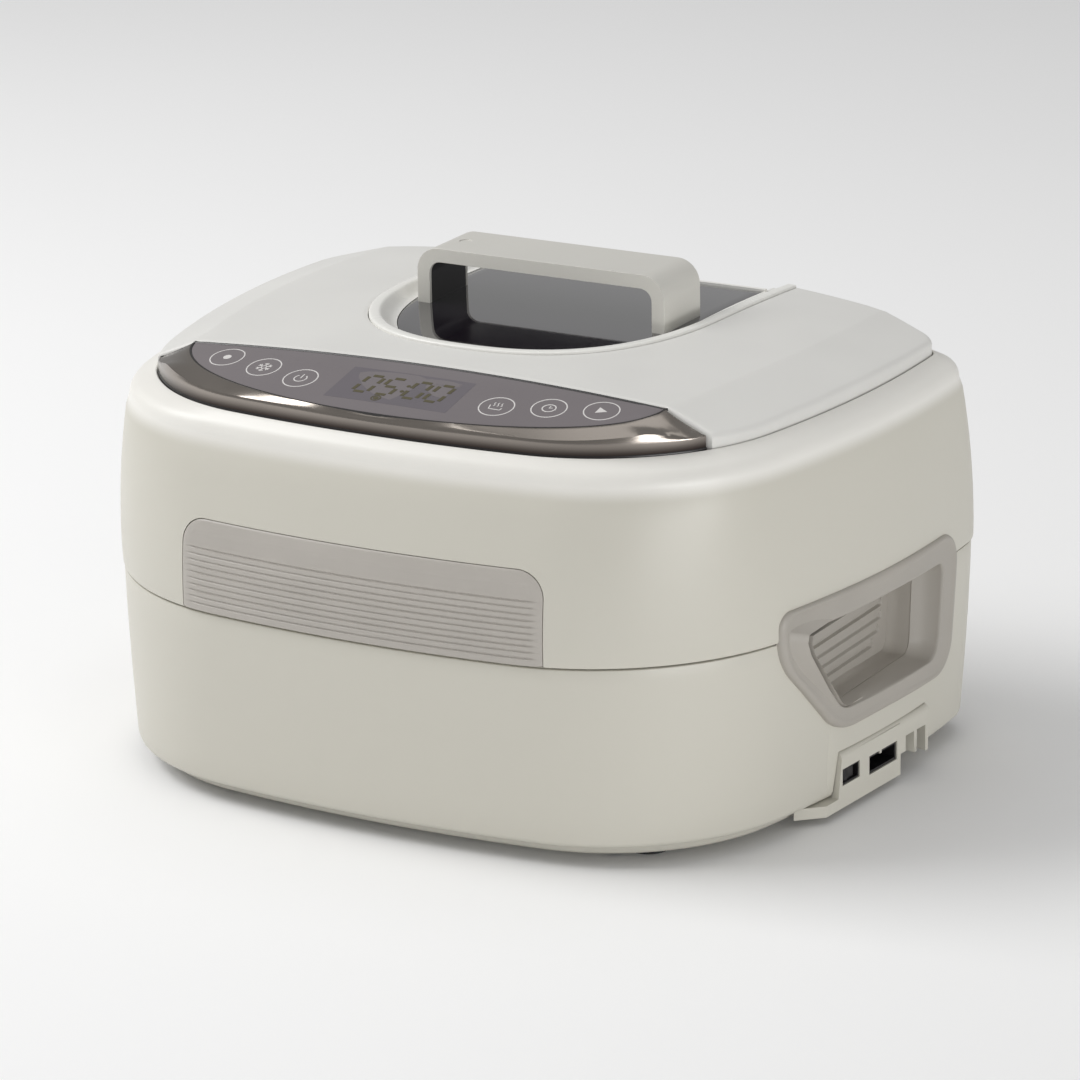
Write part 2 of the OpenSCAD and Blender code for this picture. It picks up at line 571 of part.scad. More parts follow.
module relay() color("darkorange") translate([76, board_y + 4, board_top]) block(-7, 7, -10, 10, 0, 17);
module fuse_clips() color("lightgray") translate([70, board_y - 18, board_top + 5]) {
    rotate([90, 0, 0]) cylinder(d = 5, h = 20, center = true);
    for (s = [-1, 1]) translate([-3, s*8 - 2, -5]) difference() {
        cube([6, 4, 9]);
        translate([3, -1, 5]) rotate([-90, 0, 0]) cylinder(d = 5.02, h = 6);
    }
}

// ---- fan ------------------------------------------------------------------------------------
fan_bottom = plate_z + plate_t;
fan_holes_at = [for (x = [-25, 25]) for (y = [-25, 25]) [x, y, 0]];
module fan_frame() color("black") translate([fan_at[0], fan_at[1], fan_bottom]) difference() {
    union() {
        difference() {
            linear_extrude(fan_h) rrect(fan_size, fan_size, 4);
            translate([0, 0, -1]) cylinder(d = 57, h = fan_h + 2);
        }
        translate([0, 0, fan_h - 2]) cylinder(d = 24, h = 2);
        for (a = [0:90:270]) rotate([0, 0, a]) block(11, 29.2, -1.5, 1.5, fan_h - 2, fan_h);
        difference() {
            translate([0, 0, 3]) cylinder(d = 7, h = fan_h - 4);
            translate([0, 0, 2]) cylinder(d = 3.12, h = fan_h - 5);
        }
    }
    at_each(fan_holes_at) translate([0, 0, -1]) cylinder(d = 4, h = fan_h + 2);
    translate([0, 0, 1]) cylinder(d = 3.12, h = fan_h - 4);
}
module fan_rotor() color("dimgray") translate([fan_at[0], fan_at[1], fan_bottom]) {
    translate([0, 0, 1.5]) {
        difference() {
            cylinder(d = 23, h = 10);
            translate([0, 0, 1.2]) cylinder(d = 20, h = 10);
        }
        cylinder(d = 3, h = 8.5);
    }
    for (k = [0:6]) rotate([0, 0, k*360/7]) translate([11, 0, 6.5]) rotate([38, 0, 0])
        block(0, 16, -5.5, 5.5, -0.6, 0.6);
}
module fan_screws() color("silver") translate([fan_at[0], fan_at[1], fan_bottom + fan_h])
    at_each(fan_holes_at) mirror([0, 0, 1]) screw(3.4, fan_h + 2.3, 6, 1.8);

// ---- wiring kept inside the casing ----------------------------------------------------------
function lead_ring(c, t, r) = let (w = cross([0, 0, 1], t), u = w/norm(w), v = cross(t, u))
    [for (i = [0:7]) c + r*(cos(45*i)*u + sin(45*i)*v)];
module lead(path, d) {
    last = len(path) - 1;
    loft([for (i = [0:last]) let (t = path[min(last, i + 1)] - path[max(0, i - 1)])
        lead_ring(path[i], t/norm(t), d/2)]);
}
module mains_leads() color("saddlebrown") {
    lead([[127, 10.3, 14.6], [112, 4, 26], [84, -14, 33], [66, -34, 30], [62, -40, board_top + 1.4]], 3);
    lead([[134, -13.3, 16], [118, -20, 24], [96, -27, 33], [74, -36, 30],
        [71, -42, board_top + 1.4]], 3);
}
module transducer_leads() color("firebrick") for (s = [-1, 1])
    lead([[s*stack_x + s*4, tank_y - 22.5, ring1_bottom - 1.7], [s*(stack_x + 1), -13, 50],
        [s*36, -38, 44], [s*34, -42, board_top + 1.2]], 2.4);

// ---- control panel --------------------------------------------------------------------------
panel_back = -74.4 - panel_gap;
function panel_edge(o) = let (is = island(0.6 + o), lim = panel_back - o,
    hit = reach(is, [0, lim], [1, 0]))
    concat([for (p = is) if (p[0] >= 0 && p[1] < lim - 1) p],
        [for (k = [-10:10]) let (x = -hit*k/10) [x, min(lid_front(x) - panel_gap - o, lim + 4 - o)]],
        [for (p = is) if (p[0] < 0 && p[1] < lim - 1) p]);
panel_mid = [0, -90];
panel_ring = panel_edge(0);
function lens_edge(o) = let (a = lens_half_w - o, b = lens_depth - o)
    concat([for (k = [0:15]) let (t = -90 + 6*k) [a*cos(t), -72.5 + b*sin(t)]],
        [for (k = [-10:10]) let (x = -a*k/10) [x, lid_front(x) - panel_gap - 0.6 - o]],
        [for (k = [1:15]) let (t = 180 + 6*k) [a*cos(t), -72.5 + b*sin(t)]]);
trim_top_z = 167.2;
// Height of the trim: from the lens's edge down to the outer roll.
function trim_drape(poly, f, dz) = [for (i = [0:len(poly) - 1]) let (p = poly[i])
    [p[0], p[1], min(lens_top(p[0], p[1]), lid_top(p[0], p[1])) + dz]];
module panel_trim() color("dimgray") {
    outer = panel_ring;
    seat = like(lens_edge(-0.5), outer, panel_mid);
    hole = like(lens_edge(3), outer, panel_mid);
    loft_ring([lift(outer, deck_z + 0.4),
        [for (p = outer) [p[0], p[1], min(trim_top_z, lid_top(p[0], p[1]) - 1)]],
        trim_drape(toward(outer, panel_mid, 1.2), 0, -1.2),
        trim_drape(seat, 0, -0.4), trim_drape(seat, 0, -2.1), trim_drape(hole, 0, -2.1),
        trim_drape(hole, 0, -4), lift(toward(outer, panel_mid, 2.6), 163.5),
        lift(toward(outer, panel_mid, 2.6), deck_z + 0.4)]);
}
module panel_lens() color("gray") loft([drape_lens(lens_edge(0.2), -2), drape_lens(lens_edge(0.2), -0.3),
    drape_lens(lens_edge(0.6), 0)]);
module panel_carrier() color("lightgray") difference() {
    loft([lift(toward(panel_ring, panel_mid, 7), deck_z + 0.3),
        lift(toward(panel_ring, panel_mid, 9), deck_z + 2.4)]);
    translate([0, -94, deck_z - 1]) linear_extrude(8) rrect(130, 18, 6);
}
board2_z = 161.6;
module control_board() color("darkgreen") translate([0, -94, board2_z]) difference() {
    block(-68, 68, -12, 13, 0, 1.4);
    for (x = [-64, 64]) translate([x, 0, -1]) cylinder(d = 3, h = 4);
}
module lcd_module() color("darkslategray")
    translate([0, -94, board2_z + 1.5]) block(-30, 30, -11.5, 12.5, 0, 4);
module panel_ribbon() color("lightgray") {
    block(-60, -30, -92, -91.4, 60, 161.4);
    block(-60, -30, -91.4, -70, 60, 60.6);
    block(-60, -30, -70.6, -70, 54.5, 60);
}

// ---- lid ------------------------------------------------------------------------------------
lid_mid = [0, 25];
// Outline of the lid: the island behind the panel, closed by the front edge.
function lid_outline(o) = let (is = island(0.6 + o), yc = lid_front(120) + 0.2 + o,
    hit = reach(is, [0, yc], [1, 0]))
    concat([for (k = [-12:12]) let (x = hit*k/12) [x, lid_front(x) + o]],
        [for (p = is) if (p[1] > yc + 2) p]);
lid_ring = lid_outline(0);
// The window opening: a blunt ellipse in front, straight sides, open towards the rear.
function window(a, b, back) = let (k = 2/2.4)
    concat([for (i = [0:14]) let (t = -90 + 6*i) [a*pow(cos(t), k), 40 - b*pow(abs(sin(t)), k)]],
        [[a, 40], [a, 70], [a, back], [a - 6, back], [0, back], [6 - a, back], [-a, back],
            [-a, 70], [-a, 40]],
        [for (i = [14:-1:1]) let (t = -90 + 6*i) [-a*pow(cos(t), k), 40 - b*pow(abs(sin(t)), k)]]);
window_w = 72.5;
window_f = 88.5;
// The crease loop: along the flanks it is the crease, in front and behind it lies inside the edge.
crease_ring = concat([for (k = [-6:6]) let (x = 100*k/6) [x, -62]],
    [for (k = [0:9]) let (y = -62 + 18*k) if (y < 92) [crease_x(y), y]],
    [for (k = [6:-1:-6]) let (x = 112*k/6) [x, 110.5 - x*x/800]],
    [for (k = [9:-1:0]) let (y = -62 + 18*k) if (y < 92) [-crease_x(y), y]]);
skirt_z = deck_z + 0.8;
lid_t = 3;
window_back = 101;                  // rear end of the window's hole in the lid
hole_ring = like(window(window_w, window_f, window_back), lid_ring, lid_mid);
bumpers_at = [[-118, -60, 0], [118, -60, 0], [-133, 60, 0], [133, 60, 0]];
bumper_z = deck_z + 0.4;
bumper_h = 3;
sill_top = 171.4;                   // top of the low bar behind the pane
arm_z = 166;                        // underside of that bar, where the hinge arms bolt on
arm_y0 = 104.4;                     // front end of the hinge arms
arm_screw_y = 108;
arm_screws_x = [hinge_x - 3, hinge_x + 3];
module lid_skin() {
    outer = lid_ring;
    crease = like(crease_ring, outer, lid_mid);
    hole = hole_ring;
    loft_ring([lift(outer, skirt_z), drape(outer, -2), drape(toward(outer, lid_mid, 0.7), -0.6),
        drape(toward(outer, lid_mid, 2.2), 0), drape(crease, 0), drape(hole, 0), drape(hole, -lid_t),
        drape(toward(crease, lid_mid, 2), -lid_t), drape(toward(outer, lid_mid, 4), -lid_t - 1.5),
        lift(toward(outer, lid_mid, 3), skirt_z)]);
}
module lid_shell() color("whitesmoke") {
    difference() {
        union() {
            lid_skin();
            for (p = bumpers_at) translate([p[0], p[1], bumper_z + bumper_h])
                cylinder(d = 9, h = lid_top(p[0], p[1]) - 2 - bumper_z - bumper_h);
            intersection() {
                block(-window_w - 2, window_w + 2, 103.6, 113, arm_z, sill_top);
                linear_extrude(200) polygon(toward(lid_ring, lid_mid, 1));
            }
        }
        block(-window_w - 0.4, window_w + 0.4, window_back - 1, 120, sill_top, 190);
        // slots that let the hinge arms and ears past the skirt, and the arms' screw holes
        both_sides() {
            block(hinge_x - notch_x - 0.2, hinge_x + notch_x + 0.2, 104, 125, 150, arm_z + 0.01);
            for (x = arm_screws_x) translate([x, arm_screw_y, 160]) cylinder(d = 2.5, h = 10);
        }
    }
    // the window rim's two arms carry on to the lid's rear edge
    both_sides() side_prism([[window_back + 0.2, sill_top - 0.5], [106.2, sill_top - 0.5],
        [106.2, 176.6], [window_back + 0.2, 177.2]], window_w - 5, window_w + 1);
}

pane_a = 61;
pane_b = 76.5;
pane_back = 97.5;
pane_z = 175;
// Loops of the rim and the pane, all on the same rays as the hole in the lid.
function on_rays(a, b, back) = like(window(a, b, back), hole_ring, lid_mid);
seat_ring = on_rays(pane_a + 0.6, pane_b + 0.6, pane_back + 0.4);
module window_frame() color("white") {
    lip_out = toward(hole_ring, lid_mid, 0.4);
    lip_in = on_rays(window_w - 5, window_f - 5, window_back - 2.6);
    seat = on_rays(pane_a - 4, pane_b - 4, pane_back - 4);
    // the rim follows the lid's crown, and drops to a low strip between its arms at the rear
    low = function (r, dz) [for (i = [0:len(r) - 1]) let (p = r[i], h = hole_ring[i],
        d = deck(p[0], p[1]), back = h[1] > window_back - 0.5 && abs(h[0]) < pane_a)
        [p[0], p[1], dz + (back ? min(pane_z + 0.6, d) : d)]];
    loft_ring([low(lip_out, -4.5), low(lip_out, 0.3), low(toward(lip_out, lid_mid, 0.8), 0.9),
        low(toward(lip_in, lid_mid, -1), 0.8), low(lip_in, 0),
        lift(seat_ring, pane_z + 0.2), lift(seat_ring, pane_z - 2), lift(seat, pane_z - 2),
        lift(seat, pane_z - 4), lift(seat_ring, pane_z - 4), low(toward(lip_out, lid_mid, 2), -4.5)]);
}
pane_top = pane_z + 0.05;
module window_pane() color([0.45, 0.43, 0.48, 0.6]) difference() {
    translate([0, 0, pane_top - 2]) linear_extrude(2) polygon(toward(seat_ring, lid_mid, 0.2));
    both_sides() translate([handle_screw_x, handle_screw_y, 160]) cylinder(d = 2, h = 20);
}

handle_y0 = 17.6;                   // front of the handle
handle_y1 = handle_y0 + handle_d;
handle_r = 10;
handle_screw_x = handle_w/2 - handle_t/2;
handle_screw_y = handle_y0 + handle_d/2;
module arch(w, top, r, z0, y0, y1) front_prism(let (h = w/2)
    concat(rounded([[-h, z0], [h, z0], [h, top], [-h, top]], [0.01, 0.01, r, r], 8)), y0, y1);
module handle_shell() color("whitesmoke") difference() {
    arch(handle_w, handle_top, handle_r, pane_top, handle_y0, handle_y1);
    arch(handle_w - 2*handle_t, handle_top - handle_t, handle_r - handle_t + 1, 150,
        handle_y0 - 1, handle_y1 + 1);
    both_sides() translate([handle_screw_x, handle_screw_y, pane_z - 1]) cylinder(d = 1.9, h = 12);
}
liner_t = 2;
module handle_liner() color("black") difference() {
    arch(handle_w - 2*handle_t - 0.04, handle_top - handle_t - 0.02, handle_r - handle_t + 1,
        pane_top, handle_y0 + 1.2, handle_y1 - 1.2);
    arch(handle_w - 2*handle_t - 2*liner_t, handle_top - handle_t - liner_t, 5, 150,
        handle_y0 - 1, handle_y1 + 1);
}
module handle_screws() color("silver") both_sides()
    translate([handle_screw_x, handle_screw_y, pane_top - 2]) screw(1.8, 10, 3.6, 1.4);
module lid_bumpers() color("dimgray") at_each(bumpers_at) translate([0, 0, bumper_z])
    cylinder(d = 8, h = bumper_h);

// ---- lid hinge ------------------------------------------------------------------------------
knuckle_r = 4.2;
arm_half = 6;                       // half width of each hinge arm
ear_in = arm_half + 0.4;            // the bracket's ears stand either side of the arm
ear_out = ear_in + 4.2;
module hinge_brackets() color("gainsboro") both_sides() difference() {
    union() {
        block(hinge_x - ear_out, hinge_x + ear_out, 101, 117.4, seat_z + 0.05, seat_z + 3.2);
        for (x = [hinge_x - ear_out, hinge_x + ear_in]) {
            side_prism([[108, seat_z + 0.05], [117.4, seat_z + 0.05], [hinge_y + 3.9, 159],
                [hinge_y, hinge_z], [hinge_y - 3.9, 162]], x, x + ear_out - ear_in);
            translate([x, hinge_y, hinge_z]) rotate([0, 90, 0])
                cylinder(r = knuckle_r, h = ear_out - ear_in);
        }
    }
    translate([hinge_x - 20, hinge_y, hinge_z]) rotate([0, 90, 0]) cylinder(d = pin_d, h = 40);
    translate([hinge_x, bracket_screw_y, 140]) cylinder(d = 2.4, h = 20);
}
module hinge_pins() color("silver") both_sides() translate([hinge_x - ear_out, hinge_y, hinge_z])
    rotate([0, 90, 0]) cylinder(d = pin_d, h = 2*ear_out);
module hinge_screws() color("silver") both_sides()
    translate([hinge_x, bracket_screw_y, seat_z - 3.5]) screw(2.3, 6, 5, 1.4);
module lid_hinge_arms() color("gainsboro") both_sides() difference() {
    union() {
        translate([hinge_x - arm_half, hinge_y, hinge_z]) rotate([0, 90, 0])
            cylinder(r = knuckle_r, h = 2*arm_half);
        side_prism([[arm_y0, arm_z - 3], [hinge_y - 4, 162], [hinge_y, hinge_z],
            [hinge_y + 0.8, 164.7], [hinge_y - 5, arm_z - 0.05], [arm_y0, arm_z - 0.05]],
            hinge_x - arm_half, hinge_x + arm_half);
    }
    translate([hinge_x - 20, hinge_y, hinge_z]) rotate([0, 90, 0]) cylinder(d = pin_d + 0.1, h = 40);
    for (x = arm_screws_x) translate([x, arm_screw_y, 155]) {
        cylinder(d = 2.5, h = 20);
        cylinder(d = 4.8, h = arm_z - 3.1 - 155);
    }
}
module arm_screws() color("silver") both_sides() for (x = arm_screws_x)
    translate([x, arm_screw_y, arm_z - 3.1]) screw(2.4, 6.5, 4.4, 1.2);

lower_casing();
upper_casing();
base_plate();
rubber_feet();
base_screws();
front_plate();
grip_right();
grip_left();
power_bezel();
mains_inlet();
inlet_pins();
switch_body();
switch_rocker();
tank();
tank_gasket();
transducer_horns();
piezo_rings();
electrode_plates();
back_masses();
clamp_bolts();
heater_pad();
thermostat();
power_board();
board_standoffs();
board_screws();
transformer();
heat_sink();
capacitors();
relay();
fuse_clips();
fan_frame();
fan_rotor();
fan_screws();
mains_leads();
transducer_leads();
panel_carrier();
control_board();
lcd_module();
panel_ribbon();
panel_trim();
panel_lens();
hinge_brackets();
hinge_pins();
hinge_screws();
lid_shell();
lid_hinge_arms();
arm_screws();
window_frame();
window_pane();
handle_shell();
handle_liner();
handle_screws();
lid_bumpers();
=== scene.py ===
"""Bench ultrasonic cleaner: the looks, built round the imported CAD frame.

Lengths are in millimetres here and become metres when a mesh is made. X runs to the right,
Y to the back and Z up. The outlines repeat the CAD's own formulas with more points.
"""
import json
import math

import bmesh
import bpy
import numpy as np
from mathutils import Matrix, Vector


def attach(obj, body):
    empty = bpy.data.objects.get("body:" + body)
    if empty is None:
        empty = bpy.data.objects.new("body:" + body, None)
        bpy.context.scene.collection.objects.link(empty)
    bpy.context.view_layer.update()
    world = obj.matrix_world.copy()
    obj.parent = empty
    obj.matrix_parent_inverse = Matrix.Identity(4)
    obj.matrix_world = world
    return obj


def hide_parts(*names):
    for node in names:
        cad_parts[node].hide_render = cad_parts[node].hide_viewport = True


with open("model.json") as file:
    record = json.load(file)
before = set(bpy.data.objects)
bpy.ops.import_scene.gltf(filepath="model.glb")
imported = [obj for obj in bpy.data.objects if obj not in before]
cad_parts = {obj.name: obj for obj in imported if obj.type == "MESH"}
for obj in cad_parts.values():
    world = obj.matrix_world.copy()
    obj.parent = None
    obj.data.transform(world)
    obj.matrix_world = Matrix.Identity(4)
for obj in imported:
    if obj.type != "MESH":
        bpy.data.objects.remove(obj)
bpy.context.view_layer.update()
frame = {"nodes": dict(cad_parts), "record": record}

MM = 0.001

# ---- sizes shared with the CAD ----
BODY_W, BODY_D = 325.6, 269.6
HALF_W, HALF_D = BODY_W / 2, BODY_D / 2
SEAM_Z, RIDGE_Z, SILL_Z = 83.4, 156.6, 8.3
WALL = 3.0
DECK_Z = 159.0
CROWN_Z, CROWN_X, CROWN_Y = 180.9, 2.51e-4, 3.3e-4
FRONT_R, SIDE_R, REAR_R, SIDE_MID = 595.0, 493.0, 400.0, 51.0
RIDGE_SIDE, RIDGE_FRONT, RIDGE_REAR = 5.0, 12.0, 9.0
SILL_SIDE, SILL_END = 2.6, 6.6
STEP = 0.8                      # the lower casing stands back this far under the upper one
ISLAND_HALF, ISLAND_FRONT, ISLAND_BACK = 147.1, -116.0, 114.5
LIP_Z = 162.5                   # top of the shoulder, where the island begins
PANEL_Y, PANEL_Z, PANEL_TILT = -85.0, 177.0, 12.2
LENS_HALF, LENS_DEPTH, LENS_BACK = 107.0, 41.4, -72.5
PANEL_GAP = 1.4
TRIM_TOP = 167.2
WINDOW_W, WINDOW_F, WINDOW_BACK, WINDOW_Y = 72.5, 88.5, 101.0, 40.0
SILL_TOP = 171.4
PANE_A, PANE_B, PANE_BACK, PANE_TOP = 61.0, 76.5, 97.5, 175.05
PANE_CROWN, PANE_CROWN_Y, PANE_CROWN_R = 1.3, 40.0, 1100.0
HANDLE_W, HANDLE_TOP, HANDLE_Y0, HANDLE_D, HANDLE_T, HANDLE_R = 115.0, 199.7, 17.6, 31.0, 5.0, 10.0
LINER_T, HANDLE_LIP = 0.8, 1.6
TANK_W, TANK_D, TANK_R, TANK_Y = 232.0, 136.0, 22.0, 20.0
GRIP_DEPTH = 20.5
FUNNEL_X = 152.0                # where the pocket's flared mouth ends
PLATE_HALF, PLATE_TOP, PLATE_R = 81.5, 121.5, 11.0
HINGE_X, NOTCH_HALF = 46.0, 11.2
BEZEL_TURN, BEZEL_AT, BEZEL_LEN, FIN_LEN = 5.0, (156.6, -21.5), 45.2, 22.6
FINS_AT = (12.4, 21.4)
BEZEL_TOP, BEZEL_FOOT = 26.5, 3.2
SWITCH_AT, SWITCH_SIZE = (-14.7, 16.0), (13.2, 7.0)
INLET_AT, INLET_SIZE = (10.1, 14.65), (21.7, 7.9)
PLATE_Z = 3.0                   # underside of the base plate


# ---- outlines ----
def heading(a, b):
    return math.degrees(math.atan2(b[1] - a[1], b[0] - a[0]))


def meet(c1, r1, c2, r2, side):
    """Centre of the arc that is tangent inside two circles."""
    c1, c2 = np.array(c1, float), np.array(c2, float)
    v = c2 - c1
    d = np.hypot(*v)
    a = (r1 * r1 - r2 * r2 + d * d) / (2 * d)
    h = math.sqrt(r1 * r1 - a * a)
    return c1 + a * v / d + side * h * np.array([-v[1], v[0]]) / d


def arc(c, r, a0, a1, n, last=False):
    """Points along an arc; the last point only when asked for."""
    t = np.radians(np.linspace(a0, a1, n + 1))[: n + 1 if last else n]
    return np.stack([c[0] + r * np.cos(t), c[1] + r * np.sin(t)], 1)


def plan(a, yf, yb, rf, rr, o=0.0):
    """Closed outline of shallow front, side and rear arcs joined by tangent corner arcs, inset by o."""
    cf, cb, cs = (0, yf + FRONT_R), (0, yb - REAR_R), (a - SIDE_R, SIDE_MID)
    kf = meet(cf, FRONT_R - rf, cs, SIDE_R - rf, 1)
    kr = meet(cb, REAR_R - rr, cs, SIDE_R - rr, -1)
    half = np.concatenate([
        arc(cf, FRONT_R - o, -90, heading(cf, kf), 14),
        arc(kf, rf - o, heading(cf, kf), heading(cs, kf), 28),
        arc(cs, SIDE_R - o, heading(cs, kf), heading(cs, kr), 24),
        arc(kr, rr - o, heading(cs, kr), heading(cb, kr), 14),
        arc(cb, REAR_R - o, heading(cb, kr), 90, 14),
        [[0, yb - o]]])
    return np.concatenate([half, half[-2:0:-1] * [-1, 1]])


def upper_wall(z, o=0.0):
    t = (z - SEAM_Z) / (RIDGE_Z - SEAM_Z)
    return plan(HALF_W - RIDGE_SIDE * t * t, -HALF_D + RIDGE_FRONT * t * t,
                HALF_D - RIDGE_REAR * t * t, 98 - 18 * t, 26 - 5 * t, o)


def lower_wall(z, o=0.0):
    s = (max(0.0, SEAM_Z - z) / (SEAM_Z - SILL_Z)) ** 1.5
    return plan(HALF_W - STEP - SILL_SIDE * s, -HALF_D + STEP + SILL_END * s,
                HALF_D - STEP - SILL_END * s, 96 - 9 * s, 26 - 2 * s, o)


def island(o=0.0):
    return plan(ISLAND_HALF, ISLAND_FRONT, ISLAND_BACK, 83, 10, o)


def side_x(y, z, o=0.0):
    """X of the right-hand wall at a height, the lower wall taken flush with the upper one."""
    w = upper_wall(z, o) if z >= SEAM_Z else lower_wall(z, o - STEP)
    half = w[(w[:, 0] > 60) & (w[:, 1] < 118)]
    half = half[np.argsort(half[:, 1])]
    return np.interp(y, half[:, 1], half[:, 0])


def front_y(x, z, o=0.0):
    """Y of the front wall of the upper casing."""
    w = upper_wall(z, o)
    half = w[(w[:, 1] < -80)]
    half = half[np.argsort(half[:, 0])]
    return np.interp(x, half[:, 0], half[:, 1])


def reach(poly, c, d):
    """Distance from c to the outline along a direction."""
    p = poly - c
    e = np.roll(poly, -1, 0) - poly
    den = d[0] * e[:, 1] - d[1] * e[:, 0]
    den = np.where(np.abs(den) < 1e-9, 1e-9, den)
    s = (p[:, 0] * d[1] - p[:, 1] * d[0]) / den
    t = (p[:, 0] * e[:, 1] - p[:, 1] * e[:, 0]) / den
    return t[(s > -1e-6) & (s < 1 + 1e-6) & (t > 0)].max()


def like(poly, pattern, c):
    """The outline resampled along the rays from c to the pattern's points."""
    c = np.array(c, float)
    rays = (pattern - c) / np.hypot(*(pattern - c).T)[:, None]
    return np.array([c + d * reach(poly, c, d) for d in rays])


def toward(poly, c, gap):
    d = poly - np.array(c, float)
    return c + d * (1 - gap / np.hypot(*d.T)[:, None])


def rounded(points, radii, n=7):
    """Polygon with its own corner radius at each point, anticlockwise."""
    out = []
    pts = [np.array(p, float) for p in points]
    for i, p in enumerate(pts):
        a, b = pts[i - 1] - p, pts[(i + 1) % len(pts)] - p
        ua, ub = a / np.hypot(*a), b / np.hypot(*b)
        half = math.degrees(math.acos(float(ua @ ub))) / 2
        r = radii[i]
        c = p + (ua + ub) / np.hypot(*(ua + ub)) * r / math.sin(math.radians(half))
        start = p + ua * r / math.tan(math.radians(half))
        h = heading(c, start)
        out.append(arc(c, r, h, h + 180 - 2 * half, n, last=True))
    return np.concatenate(out)


def dense(poly, step):
    """The outline with points added along its long edges."""
    out = []
    for p, q in zip(poly, np.roll(poly, -1, 0)):
        n = max(1, int(np.hypot(*(q - p)) / step))
        out += [p + (q - p) * k / n for k in range(n)]
    return np.array(out)


# ---- the crowned top ----
CREASE_HALF, CREASE_Y, CREASE_BOW = 119.5, 45.0, 1120.0
FLANK_SLOPE, FLANK_TWIST = 0.345, 0.001


def crease_x(y):
    return CREASE_HALF - (y - CREASE_Y) ** 2 / CREASE_BOW


def deck(x, y):
    return CROWN_Z - CROWN_X * x * x - CROWN_Y * y * y


def lid_top(x, y, soft=0.7):
    """Height of the lid: a crown, with flanks that fall away outside a softly rounded crease."""
    c = crease_x(y)
    e = np.abs(x) - c
    e = (e + np.sqrt(e * e + soft * soft)) / 2
    return deck(np.abs(x) - e, y) - e * (FLANK_SLOPE - FLANK_TWIST * (y - 5))


def lens_top(x, y):
    v = np.asarray(y, float) - PANEL_Y
    return (PANEL_Z + math.tan(math.radians(PANEL_TILT)) * v - CROWN_X * x * x
            - np.where(v > 0, 0.004 * v * v, 0))


def lid_front(x):
    return -70.4 - 2.6 * np.minimum(1, np.abs(x) / 109) ** 2


# ---- mesh making ----
def at_z(poly, z):
    return np.column_stack([poly, np.broadcast_to(z, len(poly))])


def band(j, k, n):
    return [(j * n + i, j * n + (i + 1) % n, k * n + (i + 1) % n, k * n + i) for i in range(n)]


def loft(rings, closed=False):
    """Vertices and faces of a skin through equal loops: a solid with end caps, or a closed tube."""
    n, m = len(rings[0]), len(rings)
    verts = np.concatenate(rings)
    faces = [f for j in range(m - 1) for f in band(j, j + 1, n)]
    if closed:
        faces += band(m - 1, 0, n)
    else:
        faces += [tuple(range(n))[::-1], tuple(range((m - 1) * n, m * n))]
    return verts, faces


def merged(*parts):
    verts, faces, base = [], [], 0
    for v, f in parts:
        verts.append(np.asarray(v, float))
        faces += [tuple(i + base for i in face) for face in f]
        base += len(v)
    return np.concatenate(verts), faces


def mirrored(part):
    v, f = part
    return np.asarray(v, float) * [-1, 1, 1], [face[::-1] for face in f]


def prism(outline, lo, hi, axis):
    """A 2D outline extruded along x (outline in y, z), y (outline in x, z) or z (outline in x, y)."""
    spots = {"x": (1, 2, 0), "y": (0, 2, 1), "z": (0, 1, 2)}[axis]
    rings = []
    for t in (lo, hi):
        ring = np.zeros((len(outline), 3))
        ring[:, spots[0]], ring[:, spots[1]], ring[:, spots[2]] = outline[:, 0], outline[:, 1], t
        rings.append(ring)
    return loft(rings)


def box(x0, x1, y0, y1, z0, z1):
    return prism(np.array([[x0, y0], [x1, y0], [x1, y1], [x0, y1]], float), z0, z1, "z")


def sheet(rows, closed_back):
    """A grid of front points closed by a grid of back points, as one solid."""
    a, b = np.array(rows), np.array(closed_back)
    m, n = a.shape[:2]
    verts = np.concatenate([a.reshape(-1, 3), b.reshape(-1, 3)])
    k = m * n
    faces = []
    for i in range(m - 1):
        for j in range(n - 1):
            q = (i * n + j, i * n + j + 1, (i + 1) * n + j + 1, (i + 1) * n + j)
            faces += [q, tuple(k + v for v in q[::-1])]
    rim = ([j for j in range(n)] + [i * n + n - 1 for i in range(1, m)]
           + [(m - 1) * n + j for j in range(n - 2, -1, -1)] + [i * n for i in range(m - 2, 0, -1)])
    faces += [(p, k + p, k + q, q) for p, q in zip(rim, rim[1:] + rim[:1])]
    return verts, faces


def open_loft(rows):
    """A skin through equal open rows that close on each other, with an end cap at each end."""
    m, n = len(rows), len(rows[0])
    faces = [(j * n + i, j * n + i + 1, (j + 1) % m * n + i + 1, (j + 1) % m * n + i)
             for j in range(m) for i in range(n - 1)]
    faces += [tuple(j * n for j in range(m)), tuple(j * n + n - 1 for j in range(m))[::-1]]
    return np.concatenate(rows), faces


def new_object(name, part):
    mesh = bpy.data.meshes.new(name)
    mesh.from_pydata([tuple(v * MM) for v in np.asarray(part[0], float)], [], part[1])
    bm = bmesh.new()
    bm.from_mesh(mesh)
    bmesh.ops.remove_doubles(bm, verts=bm.verts, dist=1e-6)
    bmesh.ops.recalc_face_normals(bm, faces=bm.faces)
    bm.to_mesh(mesh)
    bm.free()
    obj = bpy.data.objects.new(name, mesh)
    bpy.context.scene.collection.objects.link(obj)
    return obj


def smooth(obj, sharp=34):
    obj.data.shade_smooth()
    obj.data.set_sharp_from_angle(angle=math.radians(sharp))


def bake(obj):
    """Applies the object's modifiers to its mesh."""
    dg = bpy.context.evaluated_depsgraph_get()
    mesh = bpy.data.meshes.new_from_object(obj.evaluated_get(dg))
    mesh.validate()
    old = obj.data
    obj.modifiers.clear()
    obj.data = mesh
    bpy.data.meshes.remove(old)


